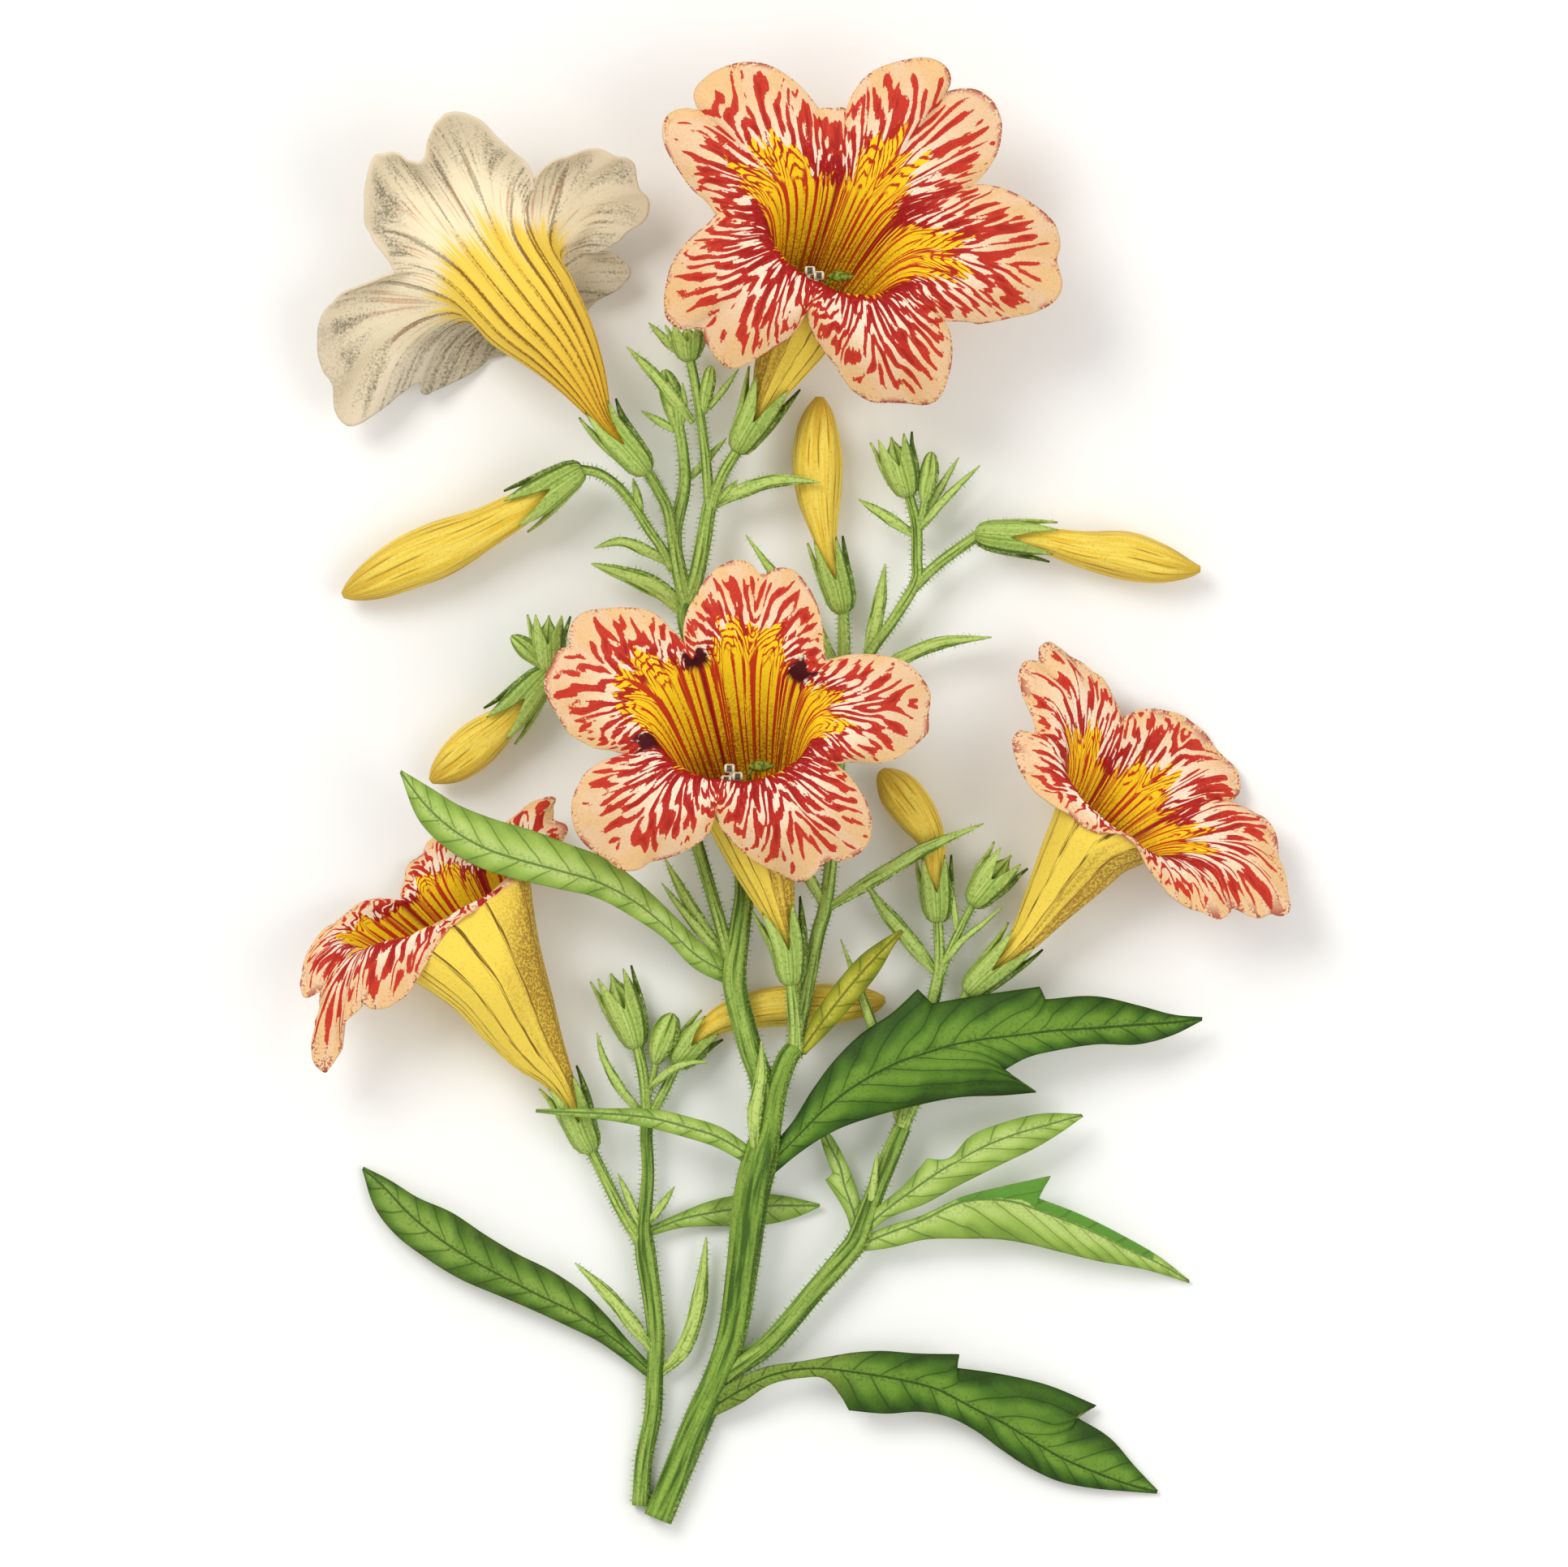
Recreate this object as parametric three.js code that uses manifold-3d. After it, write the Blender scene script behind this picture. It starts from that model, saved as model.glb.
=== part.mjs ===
// A cut spray of painted tongue (Salpiglossis), laid on its side: stems, leaves, blooms and buds.
// Millimetres, +Z up from the surface that it lies on, +Y towards the top of the spray.
import * as THREE from 'three';
import Module from 'manifold-3d';

const wasm = await Module();
wasm.setup();

// Driving dimensions, in millimetres.
const SPRAY_LENGTH = 226;
const WALL = 0.62;
const SEAT_GAP = 0.33;

// Places are plan points: x to the right, y down the plate, z up from the surface, all in plan steps.
// The spray is 1808 plan steps long, so one step is an eighth of a millimetre.
const STEP = SPRAY_LENGTH / 1808;
const PLAN_CENTRE = { x: 979.4, y: 976.2 };

const LOBES = 5;
const SEPALS = 5;

const COLOURS = {
  stem: '#7d9c45',
  leafDark: '#5f8a2c',
  leafLight: '#a8c868',
  leafYoung: '#9a9a35',
  salmon: '#e59a78',
  white: '#e9dfc2',
  yellow: '#f0ca4e',
  anther: '#d8d0b4',
  stigma: '#6f7414',
};

// Stems and stalks: stops of x, y, z and radius, from the lower end up.
const STEMS = {
  main: [[810, 1874, 16, 18], [829, 1828, 16, 18], [862, 1748, 16, 18], [885, 1697, 22, 17.5],
    [903, 1640, 30, 18], [915, 1560, 40, 20], [925, 1480, 50, 22], [936, 1430, 58, 22],
    [946, 1390, 62, 17], [956, 1345, 66, 14], [970, 1305, 70, 13], [983, 1290, 72, 12]],
  trunk: [[944, 1410, 58, 13], [940, 1340, 64, 15], [924, 1290, 66, 15], [908, 1230, 66, 15],
    [905, 1195, 64, 15], [912, 1140, 58, 13], [917, 1090, 50, 12], [906, 1000, 42, 11],
    [885, 900, 42, 11], [860, 820, 46, 11], [845, 765, 50, 11], [848, 742, 50, 10]],
  left: [[789, 1858, 9, 11], [793, 1800, 9, 11], [804, 1745, 14, 11], [806, 1700, 20, 11],
    [808, 1650, 22, 11], [803, 1600, 24, 12], [795, 1545, 26, 13], [793, 1510, 28, 10],
    [798, 1450, 30, 8], [796, 1400, 31, 8], [797, 1370, 31, 8]],
  right: [[866, 1722, 20, 12], [905, 1688, 24, 13], [950, 1655, 28, 13], [1000, 1597, 34, 13],
    [1045, 1545, 38, 14], [1058, 1526, 40, 14], [1075, 1480, 40, 12], [1095, 1430, 40, 12],
    [1112, 1390, 42, 11]],
  upperLeft: [[848, 745, 50, 10], [838, 710, 52, 10], [831, 660, 54, 9], [843, 600, 56, 8],
    [842, 560, 57, 7], [836, 524, 58, 7]],
  upperRight: [[848, 745, 50, 10], [858, 710, 52, 10], [866, 670, 54, 10], [874, 622, 56, 9]],
  upperMiddle: [[874, 624, 56, 7], [870, 570, 58, 6.5], [863, 515, 60, 6], [855, 465, 60, 6],
    [849, 438, 60, 6]],
  middleLeft: [[903, 1195, 62, 9], [882, 1120, 56, 8], [860, 1045, 46, 8], [835, 960, 42, 8],
    [775, 880, 44, 8], [715, 845, 50, 7], [678, 828, 56, 6]],
  middleRight: [[978, 1302, 69, 11], [988, 1250, 65, 9], [998, 1200, 62, 9], [1008, 1150, 60, 9],
    [1017, 1118, 60, 9], [1024, 1060, 50, 8], [1032, 960, 40, 8], [1038, 860, 38, 8], [1040, 800, 40, 8],
    [1039, 750, 42, 7]],
  topRight: [[1033, 950, 40, 7], [1045, 880, 40, 7], [1068, 812, 42, 7], [1100, 765, 45, 7],
    [1128, 718, 48, 7], [1130, 690, 50, 7], [1129, 645, 52, 7], [1119, 606, 54, 6]],
};
const STALKS = {
  white: [[830, 672, 54, 7], [823, 630, 72, 7], [812, 606, 92, 7], [801, 587, 112, 7], [795, 578, 118, 7]],
  top: [[876, 628, 56, 7], [882, 605, 62, 7], [894, 578, 70, 7], [909, 554, 76, 7]],
  centre: [[981, 1296, 71, 10], [980, 1262, 80, 9], [977, 1230, 88, 8], [975, 1208, 90, 8]],
  left: [[790, 1532, 27, 9], [766, 1495, 30, 7], [746, 1455, 32, 7], [727, 1416, 34, 7]],
  right: [[1110, 1395, 42, 9], [1135, 1340, 42, 8], [1165, 1280, 44, 8], [1195, 1222, 52, 8]],
  budLeft: [[829, 702, 52, 6], [815, 675, 56, 6], [799, 652, 60, 6], [782, 625, 66, 6], [762, 600, 71, 6],
    [738, 583, 73, 6], [713, 578, 71, 6]],
  budRight: [[1126, 724, 47, 7], [1150, 700, 50, 7], [1174, 681, 52, 7], [1207, 658, 52, 7]],
  budMiddle: [[1110, 1395, 42, 8], [1122, 1330, 42, 8], [1140, 1270, 44, 8], [1152, 1225, 46, 8],
    [1158, 1190, 46, 7], [1156, 1131, 46, 6]],
  budLow: [[800, 1378, 31, 6], [818, 1345, 29, 6], [834, 1311, 28, 6]],
  clusterLeft: [[797, 1378, 31, 7], [793, 1330, 31, 7], [784, 1286, 31, 7]],
  clusterRound: [[798, 1350, 31, 5], [804, 1330, 34, 4], [808, 1306, 36, 4]],
  clusterTopRight: [[1130, 655, 52, 5], [1136, 635, 54, 5], [1140, 614, 54, 5]],
  clusterRight: [[1157, 1205, 46, 6], [1176, 1160, 50, 5], [1200, 1112, 54, 5]],
};

// A bloom's path starts at its calyx base. The mouth is an oval of two half axes, and the outline goes round
// the lobes, sinus first.
const BLOOMS = {
  white: {
    colour: 'white',
    path: [[797, 581, 118, 6], [775, 555, 120, 8], [746, 520, 120, 12], [718, 468, 116, 31],
      [690, 425, 112, 48], [656, 384, 106, 64]],
    mouth: { centre: [622, 342, 99], across: [64, -39, 0], up: [-25, -38, 42] },
    outline: [
      [524, 199, 168], [532, 163, 180], [556, 142, 186], [592, 153, 180], [624, 183, 168], [646, 212, 156],
      [658, 235, 146], [682, 199, 134], [731, 186, 116], [776, 193, 100], [800, 250, 84], [766, 290, 72],
      [714, 324, 62], [748, 313, 44], [775, 336, 22], [738, 390, 6], [655, 440, 2], [572, 464, 18],
      [519, 480, 40], [465, 508, 50], [424, 524, 60], [396, 452, 72], [408, 388, 84], [448, 352, 96],
      [488, 338, 106], [464, 290, 118], [450, 248, 132], [457, 205, 146], [480, 193, 156], [506, 193, 162],
    ],
  },
  top: {
    colour: 'salmon',
    path: [[909, 555, 76, 6], [918, 538, 79, 8], [935, 508, 84, 13], [956, 462, 92, 29],
      [978, 418, 104, 43], [1003, 366, 124, 58]],
    mouth: { centre: [1033, 299, 182], across: [85, 43, 0], up: [27, -53, -8] },
    outline: [
      [886, 268, 186], [832, 208, 168], [820, 152, 156], [862, 130, 162], [912, 79, 156], [985, 107, 172],
      [1024, 148, 186], [1055, 112, 176], [1128, 73, 158], [1172, 113, 162], [1232, 138, 152],
      [1227, 190, 166], [1200, 230, 184], [1250, 233, 174], [1303, 295, 156], [1302, 358, 152],
      [1262, 392, 158], [1205, 402, 172], [1163, 396, 184], [1172, 432, 172], [1156, 492, 154],
      [1108, 499, 152], [1060, 493, 156], [1026, 447, 172], [998, 376, 192], [974, 417, 178],
      [915, 456, 158], [868, 410, 160], [821, 388, 150], [838, 316, 168],
    ],
  },
  centre: {
    colour: 'salmon',
    path: [[975, 1212, 89, 6], [974, 1192, 91, 8], [970, 1160, 94, 10], [955, 1110, 99, 25],
      [938, 1052, 113, 43], [920, 986, 137, 60]],
    mouth: { centre: [905, 893, 205], across: [100, 0, 0], up: [0, -72, -8] },
    outline: [
      [847, 806, 214], [851, 752, 208], [884, 702, 192], [931, 706, 198], [974, 700, 190], [1008, 754, 204],
      [1016, 813, 213], [1060, 807, 208], [1118, 818, 194], [1147, 862, 184], [1132, 921, 190],
      [1084, 941, 204], [1031, 943, 213], [1066, 980, 204], [1071, 1036, 188], [1017, 1057, 186],
      [978, 1086, 172], [912, 1045, 192], [886, 982, 219], [879, 1019, 206], [830, 1055, 190],
      [776, 1069, 176], [716, 1034, 178], [714, 964, 194], [780, 930, 213], [723, 918, 202],
      [676, 850, 186], [705, 795, 194], [722, 752, 184], [796, 760, 200],
    ],
  },
  left: {
    colour: 'salmon',
    path: [[728, 1418, 34, 6], [718, 1397, 38, 8], [703, 1358, 48, 12], [685, 1325, 56, 21],
      [663, 1296, 62, 35], [638, 1255, 72, 50], [604, 1192, 86, 71]],
    mouth: { centre: [545, 1120, 92], across: [106, -48, 0], up: [-8, -17, -50] },
    outline: [
      [495, 1106, 42], [498, 1080, 26], [514, 1050, 10], [540, 1030, 0.6], [562, 1038, 12], [582, 1050, 26],
      [602, 1056, 42], [618, 1018, 54], [650, 990, 62], [685, 983, 70], [697, 1022, 82], [666, 1058, 98],
      [600, 1104, 132], [562, 1146, 148], [536, 1187, 148], [509, 1217, 142], [487, 1237, 134],
      [460, 1243, 134], [436, 1222, 138], [427, 1260, 126], [419, 1295, 110], [403, 1322, 98],
      [388, 1302, 94], [385, 1270, 100], [394, 1228, 114], [375, 1230, 98], [370, 1210, 88],
      [385, 1163, 74], [423, 1129, 62], [456, 1110, 52],
    ],
  },
  right: {
    colour: 'salmon',
    path: [[1193, 1224, 51, 6], [1208, 1209, 53, 8], [1231, 1188, 56, 11], [1262, 1156, 62, 19],
      [1290, 1116, 68, 31], [1322, 1070, 76, 47], [1348, 1032, 84, 60]],
    mouth: { centre: [1380, 998, 92], across: [66, 56, 0], up: [16, -20, -50] },
    outline: [
      [1385, 893, 48], [1405, 877, 34], [1450, 880, 20], [1494, 918, 8], [1527, 960, 1], [1519, 986, 14],
      [1530, 1000, 30], [1562, 1018, 44], [1583, 1060, 58], [1589, 1105, 74], [1572, 1130, 88],
      [1545, 1128, 98], [1520, 1120, 106], [1497, 1130, 118], [1475, 1122, 128], [1443, 1106, 138],
      [1418, 1077, 146], [1402, 1050, 150],
      [1386, 1034, 152], [1348, 1024, 150], [1302, 994, 146], [1264, 970, 140], [1249, 926, 132],
      [1255, 903, 120], [1275, 902, 106], [1264, 868, 94], [1256, 826, 80], [1279, 797, 64],
      [1328, 817, 54], [1366, 852, 50],
    ],
  },
};

// A coloured bud's path starts at its calyx base too.
const BUDS = {
  left: { sepal: 100, path: [[716, 577, 70, 6], [688, 595, 66, 12], [648, 622, 58, 20], [598, 650, 48, 25],
    [545, 675, 40, 33], [502, 693, 36, 32], [462, 713, 32, 25], [434, 727, 30, 14], [421, 733, 29, 4]] },
  leftSmall: { sepal: 92, path: [[674, 828, 57, 6], [655, 850, 54, 11], [624, 886, 46, 19],
    [590, 915, 40, 27], [562, 938, 36, 25], [541, 954, 33, 15], [530, 963, 32, 4]] },
  upper: { sepal: 92, path: [[1039, 753, 42, 6], [1034, 728, 42, 7], [1025, 697, 42, 9],
    [1016, 660, 41, 15], [1009, 613, 39, 26], [1007, 572, 38, 30], [1007, 535, 37, 26],
    [1009, 506, 36, 17], [1010, 488, 36, 5]] },
  right: { sepal: 96, path: [[1204, 658, 52, 6], [1235, 661, 52, 11], [1290, 666, 50, 16],
    [1335, 676, 46, 22], [1388, 684, 42, 29], [1430, 694, 39, 24], [1462, 700, 37, 13],
    [1480, 701, 36, 4]] },
  middle: { sepal: 80, path: [[1156, 1135, 46, 6], [1155, 1110, 46, 9], [1152, 1075, 45, 12],
    [1147, 1035, 44, 17], [1130, 1005, 43, 24], [1108, 976, 42, 25], [1092, 957, 41, 15],
    [1086, 949, 40, 5]] },
  low: { sepal: 66, path: [[833, 1312, 28, 6], [848, 1294, 28, 9], [866, 1273, 27, 12], [890, 1256, 27, 17],
    [920, 1247, 26, 21], [962, 1240, 26, 24], [1024, 1238, 26, 24], [1073, 1235, 26, 15],
    [1091, 1232, 26, 4]] },
};

// Green buds: a closed pod, or a pod inside five open sepals.
const GREEN_BUDS = {
  left: { open: true, path: [[784, 1290, 31, 7], [776, 1262, 31, 15], [764, 1230, 31, 18],
    [752, 1200, 31, 16]] },
  topRight: { open: true, path: [[1119, 609, 54, 7], [1112, 585, 55, 14], [1104, 560, 56, 16],
    [1098, 538, 56, 13]] },
  side: { open: true, path: [[1199, 1114, 54, 6], [1214, 1094, 56, 14], [1230, 1074, 57, 17],
    [1246, 1054, 58, 13]] },
  small: { open: true, path: [[677, 827, 57, 6], [676, 806, 60, 12], [675, 785, 62, 14],
    [676, 758, 62, 12]] },
  top: { open: true, path: [[849, 442, 60, 6], [848, 428, 61, 9], [847, 412, 62, 10], [846, 398, 62, 8]] },
  round: { path: [[807, 1312, 36, 4], [811, 1298, 37, 13], [819, 1275, 38, 18], [826, 1256, 38, 12],
    [828, 1249, 38, 3]] },
  roundTop: { path: [[1139, 620, 54, 4], [1141, 605, 55, 10], [1145, 582, 56, 12], [1147, 563, 56, 8],
    [1148, 556, 56, 2]] },
  upperLeft: { path: [[835, 530, 58, 5], [831, 505, 60, 13], [825, 480, 61, 14], [820, 462, 61, 9],
    [818, 455, 61, 3]] },
  upperRight: { path: [[866, 508, 60, 4], [869, 490, 62, 8], [873, 468, 63, 9], [875, 455, 63, 6],
    [876, 450, 63, 2]] },
  smallLeft: { path: [[676, 826, 58, 5], [662, 812, 62, 10], [648, 799, 64, 13], [635, 788, 65, 8],
    [629, 784, 65, 2]] },
};

// Narrow leaves and bracts that are grown with the stems: a route from base to tip, and a half width.
const NARROW_LEAVES = [
  { half: 8, route: [[898, 1184, 56], [866, 1142, 54], [840, 1098, 52], [818, 1056, 52]] },
  { half: 6, route: [[898, 1188, 57], [866, 1152, 60], [838, 1118, 60], [815, 1088, 60]] },
  { half: 9, route: [[930, 1415, 76], [930, 1370, 84], [938, 1325, 84], [938, 1283, 80]] },
  { half: 9, route: [[1016, 1122, 62], [1070, 1088, 69], [1140, 1046, 74], [1212, 1015, 76]] },
  { half: 7, route: [[1015, 1118, 62], [1005, 1096, 64], [990, 1070, 64], [975, 1045, 60]] },
  { half: 10, route: [[1154, 1200, 46], [1120, 1158, 40], [1090, 1122, 38], [1066, 1086, 36]] },
  { half: 7, route: [[1108, 1385, 42], [1086, 1300, 54], [1062, 1228, 61], [1036, 1158, 54]] },
  { half: 4, route: [[1160, 1194, 50], [1185, 1160, 56], [1212, 1138, 58], [1237, 1116, 58]] },
  { half: 4, route: [[1180, 1150, 52], [1176, 1120, 52], [1172, 1088, 50]] },
  { half: 6, route: [[795, 1378, 31], [764, 1342, 36], [744, 1306, 38], [735, 1273, 36]] },
  { half: 5, route: [[800, 1342, 36], [828, 1318, 50], [850, 1310, 56], [872, 1310, 56]] },
  { half: 5, route: [[788, 1512, 32], [776, 1482, 36], [761, 1447, 36]] },
  { half: 5, route: [[800, 1508, 32], [816, 1485, 38], [831, 1463, 40]] },
  { half: 9, route: [[805, 1668, 25], [777, 1630, 44], [745, 1592, 52], [708, 1557, 52]] },
  { half: 10, route: [[810, 1697, 22], [843, 1662, 26], [862, 1600, 26], [870, 1526, 24]] },
  { half: 12, route: [[846, 760, 48], [820, 731, 54], [780, 711, 56], [728, 694, 52]] },
  { half: 7, route: [[828, 696, 52], [800, 680, 58], [765, 667, 60], [732, 675, 58]] },
  { half: 9, route: [[878, 624, 56], [908, 607, 64], [955, 592, 73], [1010, 594, 78]] },
  { half: 5, route: [[790, 630, 66], [785, 610, 72], [780, 589, 72]] },
  { half: 5, route: [[848, 592, 54], [870, 566, 46], [895, 539, 44]] },
  { half: 4, route: [[882, 620, 60], [896, 604, 62], [909, 591, 62]] },
  { half: 9, route: [[1068, 815, 42], [1078, 770, 46], [1085, 735, 48], [1091, 694, 48]] },
  { half: 9, route: [[1056, 850, 42], [1110, 812, 48], [1160, 792, 50], [1222, 785, 46]] },
  { half: 8, route: [[1038, 835, 40], [1000, 765, 44], [955, 708, 46], [919, 659, 44]] },
  { half: 8, route: [[854, 520, 62], [828, 488, 78], [800, 455, 84], [772, 427, 84]] },
  { half: 5, route: [[838, 528, 60], [842, 500, 66], [841, 471, 68]] },
  { half: 5, route: [[836, 532, 58], [814, 520, 58], [790, 506, 56]] },
  { half: 4, route: [[866, 510, 60], [888, 484, 60], [910, 454, 56]] },
  { half: 6, route: [[849, 442, 60], [824, 422, 56], [799, 397, 52]] },
  { half: 6, route: [[850, 442, 60], [860, 428, 60], [872, 408, 56]] },
  { half: 7, route: [[1128, 660, 52], [1095, 638, 54], [1058, 615, 52]] },
  { half: 5, route: [[1132, 650, 52], [1158, 602, 48], [1182, 563, 46]] },
  { half: 5, route: [[1132, 655, 54], [1166, 613, 60], [1208, 573, 60]] },
  { half: 5, route: [[1072, 1498, 44], [1076, 1462, 54], [1082, 1420, 56]] },
];

// Large leaves: rows of one edge, the midrib with its height, and the other edge, from base to tip.
// The drop lowers the edges by that share of their distance from the midrib.
const LEAVES = {
  lower_right: {
    colour: 'leafDark', drop: 0.12, seat: ['main', 'right'],
    rows: [[[866, 1730], [868, 1742, 24], [870, 1752]], [[900, 1705], [905, 1719, 36], [912, 1731]],
      [[942, 1686], [947, 1697, 44], [950, 1707]], [[985, 1679], [988, 1688, 48], [988, 1699]],
      [[1020, 1673], [1020, 1688, 50], [1014, 1699]], [[1052, 1668], [1052, 1692, 50], [1036, 1721]],
      [[1086, 1666], [1085, 1697, 49], [1046, 1739]], [[1130, 1669], [1122, 1704, 47], [1092, 1743]],
      [[1182, 1670], [1152, 1712, 44], [1135, 1741]], [[1178, 1687], [1184, 1728, 41], [1168, 1747]],
      [[1230, 1694], [1212, 1743, 37], [1202, 1764]], [[1290, 1708], [1240, 1757, 33], [1236, 1789]],
      [[1352, 1734], [1263, 1771, 29], [1268, 1810]], [[1325, 1747], [1308, 1798, 24], [1305, 1827]],
      [[1368, 1774], [1352, 1817, 17], [1348, 1836]], [[1400, 1810], [1390, 1831, 10], [1390, 1840]]],
    tip: [1427, 1841, 5],
  },
  lower_left: {
    colour: 'leafDark', drop: 0.1, seat: ['left'],
    rows: [[[804, 1686], [803, 1694, 24], [801, 1702]], [[775, 1655], [775, 1667, 28], [768, 1676]],
      [[748, 1624], [745, 1643, 32], [738, 1655]], [[718, 1594], [706, 1618, 35], [698, 1635]],
      [[680, 1568], [665, 1598, 37], [655, 1615]], [[638, 1547], [620, 1575, 38], [610, 1596]],
      [[596, 1522], [578, 1552, 36], [566, 1577]], [[553, 1494], [537, 1525, 31], [522, 1550]],
      [[512, 1476], [500, 1494, 24], [486, 1522]], [[478, 1455], [474, 1466, 15], [462, 1492]]],
    tip: [446, 1441, 6],
  },
  middle_right: {
    colour: 'leafDark', drop: 0.14, seat: ['main', 'trunk'],
    rows: [[[950, 1414], [952, 1432, 57], [950, 1450]], [[976, 1384], [982, 1402, 64], [985, 1421]],
      [[1001, 1344], [1012, 1371, 70], [1030, 1393]], [[1030, 1305], [1048, 1342, 76], [1080, 1375]],
      [[1062, 1274], [1085, 1320, 80], [1130, 1362]], [[1100, 1248], [1118, 1305, 83], [1185, 1352]],
      [[1131, 1219], [1138, 1299, 84], [1235, 1350]], [[1148, 1237], [1166, 1290, 84], [1277, 1346]],
      [[1200, 1228], [1205, 1282, 83], [1237, 1319]], [[1281, 1216], [1252, 1276, 80], [1264, 1304]],
      [[1288, 1232], [1302, 1270, 75], [1305, 1294]], [[1350, 1228], [1352, 1267, 68], [1352, 1287]],
      [[1405, 1240], [1405, 1263, 59], [1405, 1287]], [[1448, 1251], [1448, 1260, 50], [1445, 1276]]],
    tip: [1482, 1256, 44],
  },
  middle_left: {
    colour: 'leafLight', drop: 0.12, seat: ['trunk', 'middleLeft'],
    rows: [[[898, 1186], [895, 1200, 62], [897, 1214]], [[862, 1160], [858, 1178, 76], [856, 1194]],
      [[826, 1124], [820, 1142, 92], [818, 1156]], [[790, 1090], [780, 1110, 106], [778, 1129]],
      [[745, 1057], [737, 1087, 118], [732, 1105]], [[700, 1040], [690, 1073, 128], [688, 1095]],
      [[652, 1022], [642, 1060, 135], [640, 1084]], [[605, 1008], [598, 1045, 138], [592, 1069]],
      [[565, 992], [558, 1022, 137], [553, 1047]], [[533, 972], [527, 994, 132], [520, 1015]]],
    tip: [494, 951, 124],
  },
  side_upper: {
    colour: 'leafLight', drop: 0.12, seat: ['right'],
    rows: [[[1058, 1514], [1060, 1520, 42], [1064, 1526]], [[1082, 1488], [1088, 1495, 50], [1095, 1502]],
      [[1112, 1463], [1121, 1470, 56], [1140, 1484]], [[1143, 1428], [1152, 1448, 60], [1178, 1463]],
      [[1164, 1430], [1180, 1431, 62], [1210, 1447]], [[1197, 1400], [1212, 1414, 62], [1243, 1431]],
      [[1240, 1383], [1250, 1399, 58], [1278, 1414]], [[1285, 1373], [1292, 1387, 52], [1308, 1396]]],
    tip: [1334, 1375, 44],
  },
  side_lower: {
    colour: 'leafLight', drop: 0.2, seat: ['right'],
    rows: [[[1052, 1532], [1053, 1538, 38], [1055, 1544]], [[1092, 1513], [1094, 1521, 44], [1098, 1538]],
      [[1135, 1499], [1138, 1504, 50], [1140, 1528]], [[1185, 1476], [1186, 1482, 54], [1190, 1527]],
      [[1235, 1463], [1230, 1479, 56], [1235, 1528]], [[1295, 1450], [1258, 1484, 56], [1275, 1535]],
      [[1278, 1477], [1276, 1491, 55], [1298, 1541]], [[1325, 1495], [1335, 1514, 46], [1355, 1555]],
      [[1380, 1522], [1385, 1539, 34], [1400, 1563]], [[1430, 1551], [1432, 1561, 18], [1438, 1573]]],
    tip: [1466, 1581, 5],
  },
  side_small: {
    colour: 'leafLight', drop: 0.1, seat: ['right'],
    rows: [[[1052, 1532], [1058, 1529, 40], [1064, 1526]], [[1043, 1498], [1052, 1495, 33], [1062, 1490]],
      [[1017, 1455], [1041, 1464, 29], [1054, 1462]], [[1027, 1448], [1035, 1438, 27], [1044, 1436]],
      [[1014, 1414], [1022, 1412, 25], [1031, 1410]]],
    tip: [1009, 1382, 23],
  },
  behind_stem: {
    colour: 'leafLight', drop: 0.1, seat: ['left'],
    rows: [[[797, 1514], [797, 1520, 26], [797, 1526]], [[835, 1497], [838, 1504, 20], [840, 1514]],
      [[870, 1483], [875, 1496, 15], [878, 1512]], [[910, 1474], [915, 1490, 12], [918, 1512]],
      [[950, 1473], [952, 1487, 11], [952, 1509]], [[985, 1479], [983, 1487, 11], [982, 1501]]],
    tip: [1010, 1487, 11],
  },
  strap_left: {
    colour: 'leafLight', drop: 0.08, seat: ['main', 'trunk'],
    rows: [[[922, 1412], [918, 1421, 66], [912, 1430]], [[890, 1390], [886, 1402, 76], [880, 1413]],
      [[850, 1377], [846, 1389, 80], [842, 1401]], [[805, 1367], [802, 1378, 80], [800, 1390]],
      [[755, 1366], [753, 1373, 78], [750, 1381]], [[705, 1366], [704, 1371, 76], [703, 1376]]],
    tip: [660, 1369, 74],
  },
  young: {
    colour: 'leafYoung', drop: 0.3, seat: ['main', 'middleRight'],
    rows: [[[984, 1290], [987, 1296, 76], [992, 1300]], [[1003, 1252], [1012, 1261, 84], [1022, 1270]],
      [[1030, 1213], [1042, 1222, 88], [1054, 1234]], [[1062, 1177], [1073, 1186, 90], [1083, 1197]],
      [[1092, 1156], [1097, 1161, 90], [1101, 1166]]],
    tip: [1112, 1147, 88],
  },
};

// The parts inside an open bloom: routes from the floor of the tube to the mouth.
const HEARTS = {
  top: {
    filaments: [[[957, 459, 93], [973, 425, 118], [988, 372, 160], [998, 335, 172]],
      [[957, 459, 93], [976, 424, 118], [994, 368, 160], [1009, 341, 171]],
      [[957, 459, 93], [972, 424, 118], [985, 374, 158], [995, 350, 170]]],
    style: [[965, 462, 94], [985, 415, 112], [1008, 372, 152], [1022, 346, 172], [1036, 342, 174]],
  },
  centre: {
    filaments: [[[951, 1107, 100], [934, 1050, 128], [912, 985, 172], [899, 947, 192]],
      [[951, 1107, 100], [936, 1050, 128], [916, 985, 172], [909, 957, 192]],
      [[951, 1107, 100], [933, 1050, 128], [908, 988, 170], [895, 961, 190]]],
    style: [[962, 1105, 100], [945, 1045, 124], [930, 985, 165], [924, 952, 190], [938, 944, 194]],
  },
};
const ANTHER_RADIUS = 6;
const FILAMENT_RADIUS = 2.6;
const STIGMA = { length: 32, width: 15 };
const TIP_RADIUS = 2;

// Sides of a rod's section, and the distance between its rings.
const SIDES = { stem: 6, mainStem: 8, bud: 10, filament: 4 };
const SPACING = { stem: 55, stalk: 36, bud: 34, filament: 80, anther: 5, stigma: 8 };

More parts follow.
